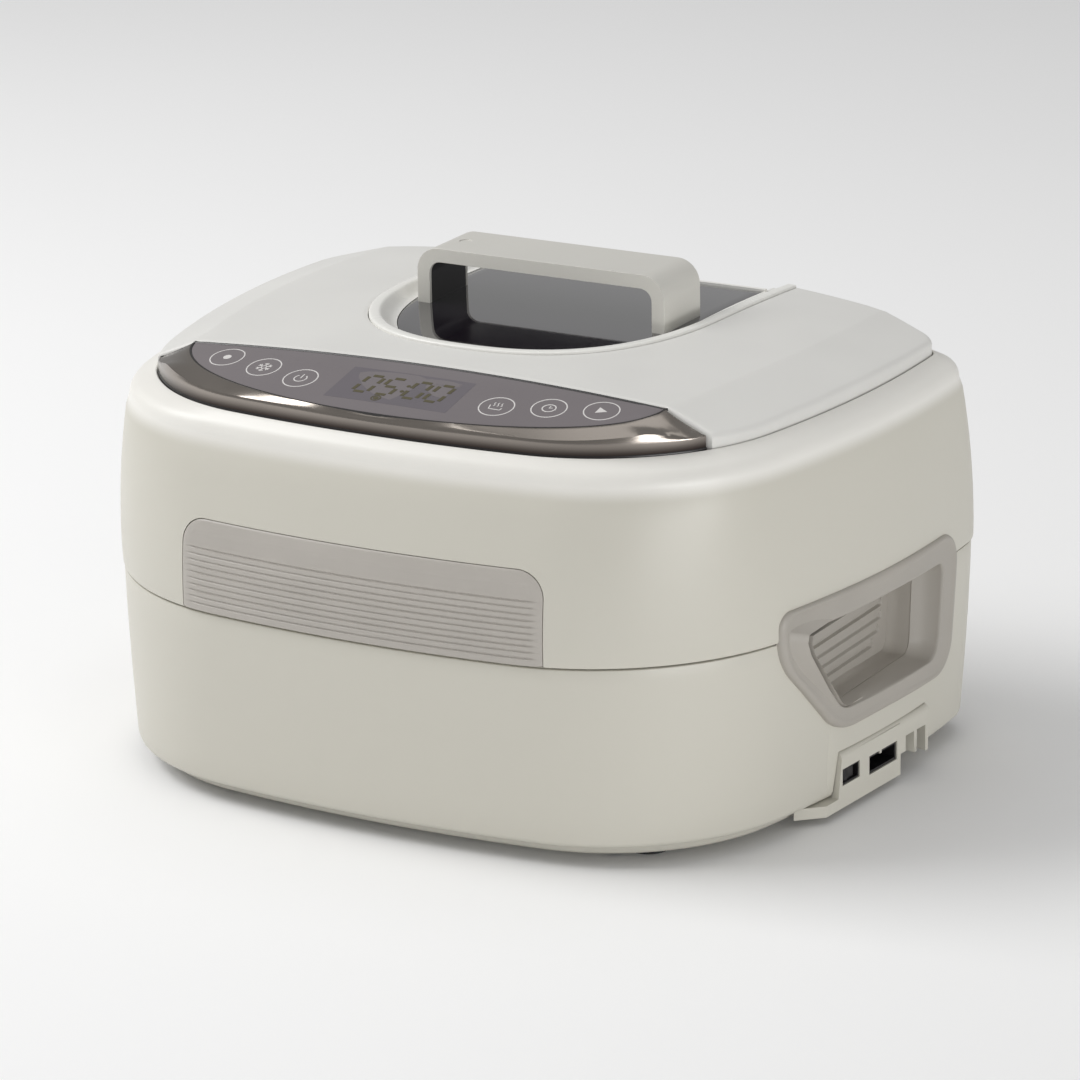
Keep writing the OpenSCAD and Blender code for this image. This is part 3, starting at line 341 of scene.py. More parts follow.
def carve(obj, part, operation="DIFFERENCE"):
    """Cuts a solid out of the object, or joins it on."""
    tool = new_object("tool", part)
    mod = obj.modifiers.new("carve", "BOOLEAN")
    mod.object, mod.operation, mod.solver = tool, operation, "EXACT"
    bake(obj)
    bpy.data.objects.remove(tool)


def carve_pair(obj, part):
    carve(obj, merged(part, mirrored(part)))


def bevel(obj, width, segments=3, angle=30):
    mod = obj.modifiers.new("bevel", "BEVEL")
    mod.width, mod.segments = width * MM, segments
    mod.limit_method, mod.angle_limit = "ANGLE", math.radians(angle)
    mod.harden_normals = True


def finish_piece(obj, material, body, stands_for=(), sharp=34):
    smooth(obj, sharp)
    obj.data.materials.clear()
    obj.data.materials.append(material)
    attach(obj, body)
    if stands_for:
        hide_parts(*stands_for)
    return obj


# ---- materials ----
def srgb(r, g, b):
    """Linear colour from 8-bit display values."""
    return tuple((v / 255 / 12.92 if v <= 10 else ((v / 255 + 0.055) / 1.055) ** 2.4)
                 for v in (r, g, b)) + (1.0,)


def material(name, colour, rough=0.5, spread=0.05, scale=35.0, grain=1500.0, bump=0.05, depth=0.08,
             rough_spread=0.08, metallic=0.0, stretch=(1, 1, 1), edge_paling=0.25, foot=None, **sockets):
    """Procedural surface: mottled colour, uneven gloss, fine grain and paler edges.

    foot, given as (low z, high z, colour), paints light and shade by height: it darkens the piece towards its
    foot and leaves the part above the high z paler."""
    mat = bpy.data.materials.new(name)
    mat.use_nodes = True
    nodes, links = mat.node_tree.nodes, mat.node_tree.links
    shader = nodes["Principled BSDF"]
    shader.inputs["Metallic"].default_value = metallic
    for key, value in sockets.items():
        shader.inputs[key.replace("_", " ")].default_value = value

    coords = nodes.new("ShaderNodeTexCoord")
    place = nodes.new("ShaderNodeMapping")
    place.inputs["Scale"].default_value = stretch
    links.new(coords.outputs["Object"], place.inputs["Vector"])

    def noise(size, detail):
        n = nodes.new("ShaderNodeTexNoise")
        n.inputs["Scale"].default_value = size
        n.inputs["Detail"].default_value = detail
        links.new(place.outputs["Vector"], n.inputs["Vector"])
        return n

    patches, fine = noise(scale, 4), noise(grain, 2)
    ramp = nodes.new("ShaderNodeValToRGB")
    c = np.array(colour[:3])
    ramp.color_ramp.elements[0].position, ramp.color_ramp.elements[1].position = 0.3, 0.7
    ramp.color_ramp.elements[0].color = (*(c * (1 - spread)), 1)
    ramp.color_ramp.elements[1].color = (*np.minimum(1, c * (1 + spread)), 1)
    links.new(patches.outputs["Fac"], ramp.inputs["Fac"])

    # Convex edges, found by pointiness, are mixed towards a paler colour.
    pale_edges = nodes.new("ShaderNodeMix")
    pale_edges.data_type = "RGBA"
    pale_edges.inputs["B"].default_value = (*np.minimum(1, c * 1.12 + 0.01), 1)
    edge = nodes.new("ShaderNodeNewGeometry")
    edge_ramp = nodes.new("ShaderNodeMapRange")
    edge_ramp.inputs["From Min"].default_value = 0.53
    edge_ramp.inputs["From Max"].default_value = 0.62
    edge_ramp.inputs["To Max"].default_value = edge_paling
    links.new(edge.outputs["Pointiness"], edge_ramp.inputs["Value"])
    links.new(edge_ramp.outputs["Result"], pale_edges.inputs["Factor"])
    links.new(ramp.outputs["Color"], pale_edges.inputs["A"])
    skin = pale_edges.outputs["Result"]
    # painted light and shade by height: below the low z the colour turns to the foot colour, above the high z
    # it stays paler
    if foot:
        split = nodes.new("ShaderNodeSeparateXYZ")
        links.new(coords.outputs["Object"], split.inputs["Vector"])
        height = nodes.new("ShaderNodeMapRange")
        height.interpolation_type = "SMOOTHSTEP"
        height.inputs["From Min"].default_value = foot[0] * MM
        height.inputs["From Max"].default_value = foot[1] * MM
        links.new(split.outputs["Z"], height.inputs["Value"])
        shaded = nodes.new("ShaderNodeMix")
        shaded.data_type = "RGBA"
        shaded.inputs["A"].default_value = foot[2]
        links.new(skin, shaded.inputs["B"])
        links.new(height.outputs["Result"], shaded.inputs["Factor"])
        skin = shaded.outputs["Result"]
    links.new(skin, shader.inputs["Base Color"])

    gloss = nodes.new("ShaderNodeMapRange")
    gloss.inputs["To Min"].default_value = max(0.02, rough - rough_spread)
    gloss.inputs["To Max"].default_value = min(1, rough + rough_spread)
    links.new(patches.outputs["Fac"], gloss.inputs["Value"])
    links.new(gloss.outputs["Result"], shader.inputs["Roughness"])

    relief = nodes.new("ShaderNodeBump")
    relief.inputs["Strength"].default_value = bump
    relief.inputs["Distance"].default_value = depth * MM
    links.new(fine.outputs["Fac"], relief.inputs["Height"])
    links.new(relief.outputs["Normal"], shader.inputs["Normal"])
    return mat


def look(*values, **extra):
    return values, extra


LOOKS = {
    # The casing's foot colour below z 147.5 is painted shade on the walls; the paler colour above z 153.5 is
    # a painted highlight on the shoulder.
    "casing_plastic": look(srgb(232, 230, 224), 0.38, 0.015, 22, 1300, 0.22,
                           foot=(147.5, 153.5, srgb(203, 200, 189))),
    "lid_plastic": look(srgb(222, 221, 217), 0.4, 0.015, 22, 1300, 0.22),
    "rim_plastic": look(srgb(236, 235, 230), 0.28, 0.012, 25, 1600, 0.08),
    "grip_plastic": look(srgb(170, 165, 157), 0.48, 0.03, 30, 1500, 0.4),
    "pocket_plastic": look(srgb(176, 171, 163), 0.6, 0.04, 30, 1500, 0.4),
    "front_plate_plastic": look(srgb(178, 173, 166), 0.42, 0.03, 30, 1500, 0.25),
    "black_plastic": look(srgb(24, 22, 24), 0.35, 0.15, 40, 1200, 0.2),
    # The chrome's dark foot colour is a painted reflection: the roll's lower wall is darkened as if it
    # mirrored a dark surround.
    "panel_chrome": look(srgb(148, 141, 134), 0.2, 0.04, 30, 1800, 0.03, rough_spread=0.05, metallic=1.0,
                         foot=(163.0, 168.2, srgb(58, 51, 48))),
    "panel_glass": look(srgb(118, 112, 114), 0.32, 0.03, 20, 1800, 0.03, rough_spread=0.05,
                        Specular_IOR_Level=0.35),
    "lcd_glass": look(srgb(104, 99, 104), 0.3, 0.03, 60, 1500, 0.03, Specular_IOR_Level=0.3),
    "lcd_segment": look(srgb(86, 81, 60), 0.45, 0.06, 200, 2500, 0.03, Specular_IOR_Level=0.2),
    "handle_plastic": look(srgb(206, 204, 197), 0.3, 0.015, 22, 1300, 0.15),
    # gap_black also colours the black strip under the trim, which is a painted shadow of the gap there.
    "gap_black": look(srgb(26, 23, 23), 0.3, 0.1, 60, 1500, 0.1),
    "panel_print": look(srgb(214, 211, 209), 0.4, 0.04, 200, 2500, 0.05),
    "smoked_window": look(srgb(30, 26, 32), 0.05, 0.06, 15, 1800, 0.01, rough_spread=0.02, IOR=2.0,
                          Coat_Weight=1.0, Coat_Roughness=0.03),
    "tank_steel": look(srgb(214, 215, 217), 0.34, 0.03, 12, 700, 0.03, metallic=1.0, stretch=(1, 1, 4)),
    "steel_fasteners": look(srgb(176, 178, 180), 0.3, 0.08, 90, 1500, 0.1, metallic=1.0),
    "aluminium_parts": look(srgb(188, 190, 193), 0.36, 0.06, 60, 1100, 0.15, metallic=1.0),
    "copper_parts": look(srgb(190, 140, 76), 0.34, 0.08, 80, 1300, 0.1, metallic=1.0),
    "ceramic": look(srgb(206, 197, 168), 0.5, 0.05, 60, 1600, 0.2),
    "circuit_board": look(srgb(36, 74, 46), 0.35, 0.14, 160, 1500, 0.2),
    "component_plastic": look(srgb(46, 78, 108), 0.35, 0.1, 90, 1500, 0.15),
    "board_plastic": look(srgb(214, 210, 198), 0.5, 0.04, 60, 1400, 0.15),
    "lead_sheath": look(srgb(112, 44, 36), 0.45, 0.12, 120, 1400, 0.2),
    "heater_rubber": look(srgb(176, 86, 46), 0.6, 0.1, 60, 900, 0.4),
    "seal_rubber": look(srgb(214, 210, 198), 0.55, 0.05, 60, 1200, 0.3),
    "rubber": look(srgb(44, 44, 46), 0.7, 0.12, 90, 1100, 0.5),
}
M = {name: material(name, *values, **extra) for name, (values, extra) in LOOKS.items()}

SLOT_OF = {s["node"]: s["material_slot"] for s in frame["record"]["subparts"]}


# ---- casing ----
GRIP_OUTER = rounded([[-63, 95.8], [-63, 75], [-26, 36], [66, 35.5], [71, 95.5]], [6.5, 26, 26, 15, 13], 12)
GRIP_INNER = rounded([[-52, 84.5], [-48, 76], [-21.5, 45], [53.5, 44.5], [56.5, 84.5]], [2, 12, 12, 9, 5], 12)
GRIP_DEEP = rounded([[-49, 83.5], [-44, 76], [-18.5, 46.7], [48.5, 46.5], [51.5, 83.5]],
                    [2, 10, 10, 6, 4], 12)
GRIP_CUT = rounded([[-57, 88], [-54, 74.2], [-23.8, 40.7], [60.5, 40], [63.5, 88]], [4, 14, 14, 10, 6])
GRIP_MID = (8.0, 63.0)


def bezel_place(part):
    """Moves a part from the bezel's own frame (x out of its face, y along it) to the object's."""
    v, f = part
    a = math.radians(-BEZEL_TURN)
    turn = np.array([[math.cos(a), -math.sin(a), 0], [math.sin(a), math.cos(a), 0], [0, 0, 1]])
    return np.asarray(v, float) @ turn.T + [BEZEL_AT[0], BEZEL_AT[1], 0], f


def flange(x, gap):
    """Foot of the bezel in plan: it runs on forward under the casing's sill and ends in a slant."""
    slant = 10 / 9
    return np.array([[x, -12 + slant * x - 1.5 * gap], [x, BEZEL_LEN + gap], [-9 - gap, BEZEL_LEN + gap],
                     [-9 - gap, -22 - (slant + 1.5) * gap]])


def bezel_cuts(gap):
    end = BEZEL_LEN + FIN_LEN + gap
    hole = np.array([[-gap, BEZEL_TOP + gap], [-3.2 - gap, 8.5], [-3.2 - gap, -1], [end, -1],
                     [end, BEZEL_TOP + gap]])
    return [bezel_place(prism(hole, -14, 20, "x")), bezel_place(prism(flange(4, gap), -1, 8.15, "z"))]


def bend(a, b, c, n):
    """Loops that turn smoothly from a towards b and on to c."""
    return [(1 - t) ** 2 * a + 2 * t * (1 - t) * b + t * t * c for t in np.linspace(0, 1, n + 1)]


def rounded_slab(w, d, r, cy, n=12):
    return rounded([[-w / 2, cy - d / 2], [w / 2, cy - d / 2], [w / 2, cy + d / 2], [-w / 2, cy + d / 2]],
                   [r] * 4, n)


def plate_rows(grow=0.0, n=90):
    """Heights of the front plate's rows, each with its half width."""
    lo, hi = SEAM_Z + 1 - grow, PLATE_TOP + grow
    rows = []
    for z in np.unique(np.concatenate([np.linspace(lo, hi - PLATE_R, n),
                                       hi - PLATE_R + PLATE_R * np.sin(np.linspace(0, math.pi / 2, 12))])):
        over = max(0.0, z - (hi - PLATE_R))
        rows.append((z, PLATE_HALF + grow - PLATE_R + math.sqrt(max(0.0, PLATE_R ** 2 - over ** 2))))
    return rows


def front_patch(rows, outer, inner, columns=72):
    """Solid between two offsets from the front wall."""
    faces = []
    for offset in (outer, inner):
        grid = []
        for z, w in rows:
            x = np.linspace(-w, w, columns)
            grid.append(np.column_stack([x, front_y(x, z, offset), np.full(columns, z)]))
        faces.append(grid)
    return sheet(*faces)


def make_upper_casing():
    base = upper_wall(SEAM_Z)
    ridge = at_z(upper_wall(RIDGE_Z), RIDGE_Z - 4.2)
    knee = at_z(upper_wall(RIDGE_Z, 0.2), RIDGE_Z + 0.9)
    brim = at_z(island(-1), LIP_Z - 0.2)
    shoulder = ridge * [1, 1, 0] + [0, 0, RIDGE_Z + 0.9]
    lit = shoulder + (brim - shoulder) * 0.42
    rings = [at_z(upper_wall(SEAM_Z, WALL), SEAM_Z + 0.3), at_z(upper_wall(SEAM_Z, 1.1), SEAM_Z + 0.3),
             at_z(upper_wall(SEAM_Z, 0.45), SEAM_Z + 0.5), at_z(upper_wall(SEAM_Z, 0.12), SEAM_Z + 1.0),
             at_z(base, SEAM_Z + 1.6)]
    rings += [at_z(upper_wall(z), z) for z in np.linspace(92, 148, 9)]
    rings += bend(ridge, knee, lit, 8)
    rings += [shoulder + (brim - shoulder) * t for t in (0.6, 0.8)] + [brim]
    rings += [at_z(island(-0.5), LIP_Z), at_z(island(-0.05), LIP_Z - 0.25), at_z(island(0.1), LIP_Z - 1),
              at_z(island(0.1), DECK_Z)]
    hole = like(rounded_slab(TANK_W + 6, TANK_D + 6, TANK_R + 3, TANK_Y), island(), (0, TANK_Y))
    rings += [at_z(hole, DECK_Z), at_z(hole, DECK_Z - WALL), at_z(island(12), DECK_Z - WALL),
              at_z(upper_wall(RIDGE_Z, WALL + 4), 152), at_z(upper_wall(140, WALL), 140),
              at_z(upper_wall(110, WALL), 110)]
    obj = new_object("upper_shell", loft(rings, closed=True))
    carve_pair(obj, prism(GRIP_CUT, 120, 175, "x"))
    notch = prism(np.array([[100.5, 149], [118.2, 149], [122, 158], [122, 175], [100.5, 175]]),
                  HINGE_X - NOTCH_HALF, HINGE_X + NOTCH_HALF, "x")
    carve_pair(obj, notch)
    carve(obj, box(-70, 70, 105, 119, 161.3, 170))
    carve(obj, front_patch(plate_rows(0.35), -2, 1.4))
    return obj


def crease_groove():
    """Shallow lens-shaped groove down the right side, below the grip's front end."""
    y_mid, lo, hi, half, deep = -28.0, 9.4, 41.0, 1.5, 0.7
    rings = []
    for t in np.linspace(0.02, 0.98, 25):
        z, swell = lo + (hi - lo) * t, math.sin(math.pi * t)
        x = side_x(y_mid, z, STEP)
        w = half * swell
        rings.append(np.array([[x + 1, y_mid - w * 2, z], [x + 1, y_mid + w * 2, z],
                               [x - deep * swell, y_mid, z]]))
    return loft(rings)


def make_lower_casing():
    rings = [at_z(lower_wall(SILL_Z, WALL), SILL_Z + 0.1), at_z(lower_wall(SILL_Z, 2.2), SILL_Z),
             at_z(lower_wall(SILL_Z, 1.2), SILL_Z + 0.35), at_z(lower_wall(SILL_Z + 1, 0.45), SILL_Z + 1.1)]
    rings += [at_z(lower_wall(z), z) for z in (SILL_Z + 2.6, *np.linspace(18, 76, 9))]
    rings += [at_z(lower_wall(SEAM_Z), SEAM_Z - 1.0), at_z(lower_wall(SEAM_Z, 0.2), SEAM_Z - 0.5),
              at_z(lower_wall(SEAM_Z, 0.7), SEAM_Z - 0.3), at_z(lower_wall(SEAM_Z, WALL), SEAM_Z - 0.3),
              at_z(lower_wall(60, WALL), 60), at_z(lower_wall(30, WALL), 30)]
    obj = new_object("lower_shell", loft(rings, closed=True))
    carve_pair(obj, prism(GRIP_CUT, 120, 175, "x"))
    for part in bezel_cuts(0.3):
        carve(obj, part)
    carve(obj, crease_groove())
    return obj


PLATE_PROUD = 0.4


def rib_relief(z):
    """How far the plate's face stands off the wall at a height: a plain band over fine ribs."""
    first, pitch, count, deep = SEAM_Z + 3.4, 2.5, 12, 0.6
    k = (z - first) / pitch
    if 0 <= k < count - 0.05:
        t = (k % 1) * pitch
        if t < 0.9:
            return deep * math.sin(math.pi * t / 0.9) ** 0.6 - PLATE_PROUD
    return -PLATE_PROUD


def make_front_plate():
    rows = plate_rows(n=150)
    faces = []
    for flat in (False, True):
        grid = []
        for z, w in rows:
            x = np.linspace(-w, w, 72)
            if flat:
                y = front_y(x, z, 1.3)
            else:
                edge = np.minimum(w - np.abs(x), PLATE_TOP - z)
                inside = np.clip((edge - 3.5) / 0.4, 0, 1)
                soft = 0.45 * np.clip(1 - edge / 0.8, 0, 1) ** 2
                lift = (rib_relief(z) + PLATE_PROUD) * inside + soft - PLATE_PROUD
                y = front_y(x, z, 0.0) + lift
            grid.append(np.column_stack([x, y, np.full(72, z)]))
        faces.append(grid)
    return new_object("front_plate_ribbed", sheet(*faces))


def make_base_plate():
    rings = [at_z(lower_wall(SILL_Z, o), z) for o, z in (
        (9.6, PLATE_Z), (8.8, PLATE_Z + 0.25), (8.25, PLATE_Z + 0.9), (8.0, PLATE_Z + 1.8),
        (8.0, SILL_Z + 3), (10.5, SILL_Z + 3), (10.8, PLATE_Z + 2.5))]
    obj = new_object("base_tray", loft(rings))
    for part in bezel_cuts(0.3):
        carve(obj, part)
    fan_x, fan_y, vent_r, pitch = 94.0, 46.0, 26, 6
    slots = []
    for i in range(-4, 5):      # a round vent under the fan, then a row of slots
        x, w = fan_x + pitch * i, math.sqrt(vent_r ** 2 - (pitch * i) ** 2)
        slots.append(box(x - 1.6, x + 1.6, fan_y - w, fan_y + w, 0, 20))
    slots += [box(10 * i - 2, 10 * i + 2, 52, 88, 0, 20) for i in range(-3, 4)]
    carve(obj, merged(*slots))
    return obj


finish_piece(make_upper_casing(), M["casing_plastic"], "base", ["upper_casing"])
finish_piece(make_lower_casing(), M["casing_plastic"], "base", ["lower_casing"])
finish_piece(make_front_plate(), M["front_plate_plastic"], "base", ["front_plate"], 50)
finish_piece(make_base_plate(), M["casing_plastic"], "base", ["base_plate"])


# ---- side grips ----
def grip_ring(contour, lift):
    """A loop on the wall's surface, standing off it by lift."""
    return np.array([[side_x(y, z, -lift), y, z] for y, z in contour])


def make_grip():
    outer = dense(GRIP_OUTER, 2.5)
    inner = like(dense(GRIP_INNER, 1.5), outer, GRIP_MID)
    deep = like(dense(GRIP_DEEP, 1.5), outer, GRIP_MID)
    bead = [(0.5, -1.2), (0.5, -0.2), (0.6, 0.5), (1.0, 1.15), (1.8, 1.6), (2.7, 1.74), (3.6, 1.66),
            (4.5, 1.35), (5.4, 1.1)]
    rings = [grip_ring(toward(outer, GRIP_MID, inset), lift) for inset, lift in bead]
    rings += [grip_ring(toward(inner, GRIP_MID, -gap), lift) for gap, lift in
              ((2.2, 1.0), (1.3, 0.98), (0.6, 0.8), (0.15, 0.3), (0.0, -0.4))]
    mouth = np.column_stack([np.full(len(inner), 157.5), toward(inner, GRIP_MID, 0.8)])
    throat = np.column_stack([np.full(len(deep), FUNNEL_X), deep])
    rings += [mouth, mouth + (throat - mouth) * 0.5, throat + (mouth - throat) * 0.08, throat]
    rings.append(np.column_stack([np.full(len(deep), FUNNEL_X - 0.6), toward(deep, GRIP_MID, -0.2)]))
    rings.append(np.column_stack([np.full(len(deep), FUNNEL_X - 0.6), toward(inner, GRIP_MID, -1.6)]))
    rings.append(np.column_stack([np.full(len(inner), 157.0), toward(inner, GRIP_MID, -1.8)]))
    return loft(rings, closed=True)


POCKET_X = HALF_W - GRIP_DEPTH


def make_pocket():
    """Deep part of the finger pocket, behind the grip's funnel."""
    deep = dense(GRIP_DEEP, 1.5)
    rings = [np.column_stack([np.full(len(deep), x), toward(deep, GRIP_MID, d)])
             for d, x in ((0.05, FUNNEL_X - 0.5), (0.4, 147), (0.9, POCKET_X + 1.2), (1.6, POCKET_X + 0.2),
                          (1.8, POCKET_X - 1.6), (-0.9, POCKET_X - 1.6), (-0.9, FUNNEL_X - 0.5))]
    return loft(rings, closed=True)


def make_pocket_back():
    """Back wall of the pocket: horizontal grooves that hook upward at their rear ends."""
    contour = toward(dense(GRIP_DEEP, 1.0), GRIP_MID, 1.7)
    z_lo, z_hi = contour[:, 1].min() + 0.05, contour[:, 1].max() - 0.05
    ends = [(42.0, 67.6), (41.5, 62.2), (39.0, 57.0), (34.0, 52.2)]
    rows = np.linspace(z_lo, z_hi, 130)
    front, back = [], []
    for z in rows:
        ys = []
        for p, q in zip(contour, np.roll(contour, -1, 0)):
            if (p[1] - z) * (q[1] - z) <= 0 and p[1] != q[1]:
                ys.append(p[0] + (q[0] - p[0]) * (z - p[1]) / (q[1] - p[1]))
        y = np.linspace(min(ys), max(ys), 200)
        depth = np.zeros(200)
        for end, level in ends:
            run = np.hypot(np.maximum(0, y - end), z - level)
            hook = np.hypot(y - end - 0.2, np.maximum(0, np.maximum(level - z, z - level - 1.9)))
            depth = np.maximum(depth, 1.3 * np.clip((0.95 - np.minimum(run, hook)) / 0.45, 0, 1))
        front.append(np.column_stack([POCKET_X - depth, y, np.full(200, z)]))
        back.append(np.column_stack([np.full(200, POCKET_X - 2.2), y, np.full(200, z)]))
    return sheet(front, back)


for side, name in ((1, "right"), (-1, "left")):
    turn = (lambda p: p) if side > 0 else mirrored
    finish_piece(new_object(f"grip_frame_{name}", turn(make_grip())), M["grip_plastic"], "base",
                 [f"grip_{name}"])
    finish_piece(new_object(f"pocket_{name}", turn(make_pocket())), M["pocket_plastic"], "base",
                 ())
    finish_piece(new_object(f"pocket_back_{name}", turn(make_pocket_back())), M["grip_plastic"], "base",
                 (), 50)


# ---- power corner ----
def make_power_bezel():
    end = BEZEL_LEN + FIN_LEN
    top_r = 3
    round_top = [(-top_r + top_r * math.cos(t), BEZEL_TOP - top_r + top_r * math.sin(t))
                 for t in np.linspace(0, math.pi / 2, 9)]

    def bar(y0, y1, foot, lean=0.0):
        """Length of the housing with a rounded top edge; its front end may slant forward at the foot."""
        section = np.array([(0, foot)] + round_top + [(-9, BEZEL_TOP), (-9, foot)])
        fall = (BEZEL_TOP - section[:, 1]) / (BEZEL_TOP - foot)
        return loft([np.column_stack([section[:, 0], y0 - lean * fall, section[:, 1]]),
                     np.column_stack([section[:, 0], np.full(len(section), y1), section[:, 1]])])

    obj = new_object("power_housing", bezel_place(bar(0, BEZEL_LEN, BEZEL_FOOT, 3.6)))
    carve(obj, bezel_place(bar(BEZEL_LEN - 0.5, BEZEL_LEN + 4, 12)), "UNION")
    carve(obj, bezel_place(bar(BEZEL_LEN + 3, end, 18.6)), "UNION")
    carve(obj, bezel_place(prism(flange(0, 0), BEZEL_FOOT, 7.9, "z")), "UNION")
    for at, foot in zip(FINS_AT, (9, 7)):
        y = BEZEL_LEN + at
        fin = prism(np.array([[-9, 20], [-9, foot + 1.2], [-0.4, foot], [-0.4, 20]]), y - 1.1, y + 1.1, "y")
        carve(obj, bezel_place(fin), "UNION")
    for at, size in ((SWITCH_AT, SWITCH_SIZE), (INLET_AT, INLET_SIZE)):
        y, z, w, h = at[0] - BEZEL_AT[1], at[1], size[0] / 2, size[1] / 2
        carve(obj, bezel_place(box(-12, 1, y - w, y + w, z - h, z + h)))
    y, z = INLET_AT[0] - BEZEL_AT[1] - 2, INLET_AT[1] + INLET_SIZE[1] / 2
    carve(obj, bezel_place(box(-2, -0.05, y - 0.7, y + 0.7, z - 1.3, z + 1)), "UNION")
    bevel(obj, 0.4, 3, 40)
    bake(obj)
    return obj


finish_piece(make_power_bezel(), M["casing_plastic"], "base", ["power_bezel"], 12)


# ---- control panel ----
PANEL_MID = (0.0, -90.0)
PANEL_BACK = -74.4 - PANEL_GAP


def panel_edge(o=0.0):
    outline, lim = island(0.6 + o), PANEL_BACK - o
    hit = reach(outline, np.array([0, lim]), np.array([1.0, 0]))
    right = outline[(outline[:, 0] >= 0) & (outline[:, 1] < lim - 1)]
    left = outline[(outline[:, 0] < 0) & (outline[:, 1] < lim - 1)]
    x = -hit * np.linspace(-1, 1, 61)
    back = np.column_stack([x, np.minimum(lid_front(x) - PANEL_GAP - o, lim + 4 - o)])
    return np.concatenate([right, back, left])


def lens_edge(o=0.0):
    a, b = LENS_HALF - o, LENS_DEPTH - o
    t = np.radians(np.linspace(-90, 0, 61)[:-1])
    right = np.column_stack([a * np.cos(t), LENS_BACK + b * np.sin(t)])
    x = -a * np.linspace(-1, 1, 61)
    back = np.column_stack([x, lid_front(x) - PANEL_GAP - 0.6 - o])
    return np.concatenate([right, back, right[:0:-1] * [-1, 1]])


def panel_z(poly, dz):
    x, y = poly[:, 0], poly[:, 1]
    return np.column_stack([poly, np.minimum(lens_top(x, y), lid_top(x, y)) + dz])


def make_trim():
    outer = panel_edge()
    seat = like(lens_edge(-0.7), outer, PANEL_MID)
    hole = like(lens_edge(2.5), outer, PANEL_MID)
    top = np.minimum(TRIM_TOP, lid_top(outer[:, 0], outer[:, 1]) - 1.0)
    wall_top = at_z(outer, top)
    roll = panel_z(toward(outer, PANEL_MID, 0.7), -1.3)
    rings = [at_z(toward(outer, PANEL_MID, 2.6), DECK_Z + 0.4), at_z(outer, DECK_Z + 0.4),
             at_z(outer, LIP_Z), at_z(outer, LIP_Z + (top - LIP_Z) * 0.5), wall_top]
    rings += bend(wall_top, wall_top + np.array([0, 0, 1.0]), roll, 4)[1:]
    rim = panel_z(seat, 0.15)
    rings += [roll + (rim - roll) * t for t in (0.3, 0.6, 0.85)] + [rim]
    rings += [panel_z(like(lens_edge(-0.35), outer, PANEL_MID), 0.1),
              panel_z(like(lens_edge(-0.25), outer, PANEL_MID), -1.2),
              panel_z(like(lens_edge(0.3), outer, PANEL_MID), -2.2), panel_z(hole, -2.3), panel_z(hole, -4)]
    return loft(rings, closed=True)


def make_lens():
    rings = [np.column_stack([e, lens_top(e[:, 0], e[:, 1]) + dz]) for e, dz in (
        (lens_edge(0.3), -2.0), (lens_edge(0.2), -0.5), (lens_edge(0.35), -0.12), (lens_edge(0.9), 0.0))]
    edge = lens_edge(0.9)
    for t in np.linspace(0.1, 0.98, 10):
        e = edge + (np.array([0, -88.0]) - edge) * t
        rings.append(np.column_stack([e, lens_top(e[:, 0], e[:, 1])]))
    return loft(rings)


def on_lens(points, lift):
    p = np.asarray(points, float)
    y = PANEL_Y + p[:, 1]
    return np.column_stack([p[:, 0], y, lens_top(p[:, 0], y) + lift])


def stroke(points, width, closed=False, lift=0.06):
    """A printed line on the lens through points given across and up the slope."""
    p = np.asarray(points, float)
    n = len(p)
    tangent = (np.roll(p, -1, 0) - np.roll(p, 1, 0)) if closed else np.gradient(p, axis=0)
    tangent /= np.hypot(*tangent.T)[:, None]
    side = np.column_stack([-tangent[:, 1], tangent[:, 0]]) * width / 2
    rings = [on_lens(p + side, lift), on_lens(p - side, lift),
             on_lens(p - side, -0.05), on_lens(p + side, -0.05)]
    verts = np.concatenate(rings)
    faces = []
    for i in range(n if closed else n - 1):
        j = (i + 1) % n
        for a, b in ((0, 1), (1, 2), (2, 3), (3, 0)):
            faces.append((a * n + i, a * n + j, b * n + j, b * n + i))
    if not closed:
        faces += [(0, n, 2 * n, 3 * n), (n - 1, 2 * n - 1, 3 * n - 1, 4 * n - 1)]
    return verts, faces


def circle(c, r, a0=0, a1=360, n=48):
    return arc(c, r, a0, a1, n, last=(a1 - a0) % 360 != 0)


def disc(c, r, lift=0.06, n=32):
    ring = circle(c, r, n=n)
    return loft([on_lens(ring, -0.05), on_lens(ring, lift)])


def patch_on_lens(outline, lift):
    return loft([on_lens(outline, -0.05), on_lens(outline, lift)])


RINGS = {"light": (-85.0, 0.0), "cycle": (-64.67, -4.97), "power": (-44.42, -10.23),
         "heat": (44.42, -10.23), "time": (64.67, -4.97), "start": (85.0, 0.0)}
RING_R = 7.0
LINE = 0.5


def icon_light(c):
    return [disc(c, 1.7)]


def icon_cycle(c):
    arms = []
    for k in range(6):
        a = math.radians(60 * k + 30)
        d = np.array([math.cos(a), math.sin(a)])
        side = np.array([-d[1], d[0]])
        tip = np.array(c) + 3.3 * d
        arms.append(stroke([c + 1.1 * d, tip], 0.55))
        for s in (-1, 1):
            arms.append(stroke([c + 1.9 * d, c + 2.9 * d + s * 0.9 * side], 0.4))
    return arms + [stroke(circle(c, 1.1, n=18), 0.4, True)]


def icon_power(c):
    return [stroke(circle(c, 2.6, 130, 410, 30), 0.5), stroke([c, (c[0], c[1] + 3.2)], 0.5)]


def icon_heat(c):
    x, y = c
    tray = [[x - 3, y + 0.6], [x - 2.4, y - 2.2], [x + 2.4, y - 2.2], [x + 3, y + 0.6]]
    waves = [stroke([[x + d + 0.3 * math.sin(2.4 * t), y + 0.2 + t] for t in np.linspace(0, 2.6, 9)], 0.35)
             for d in (-1.6, 0, 1.6)]
    return [stroke(dense(np.array(tray), 1.0)[:-6], 0.45)] + waves


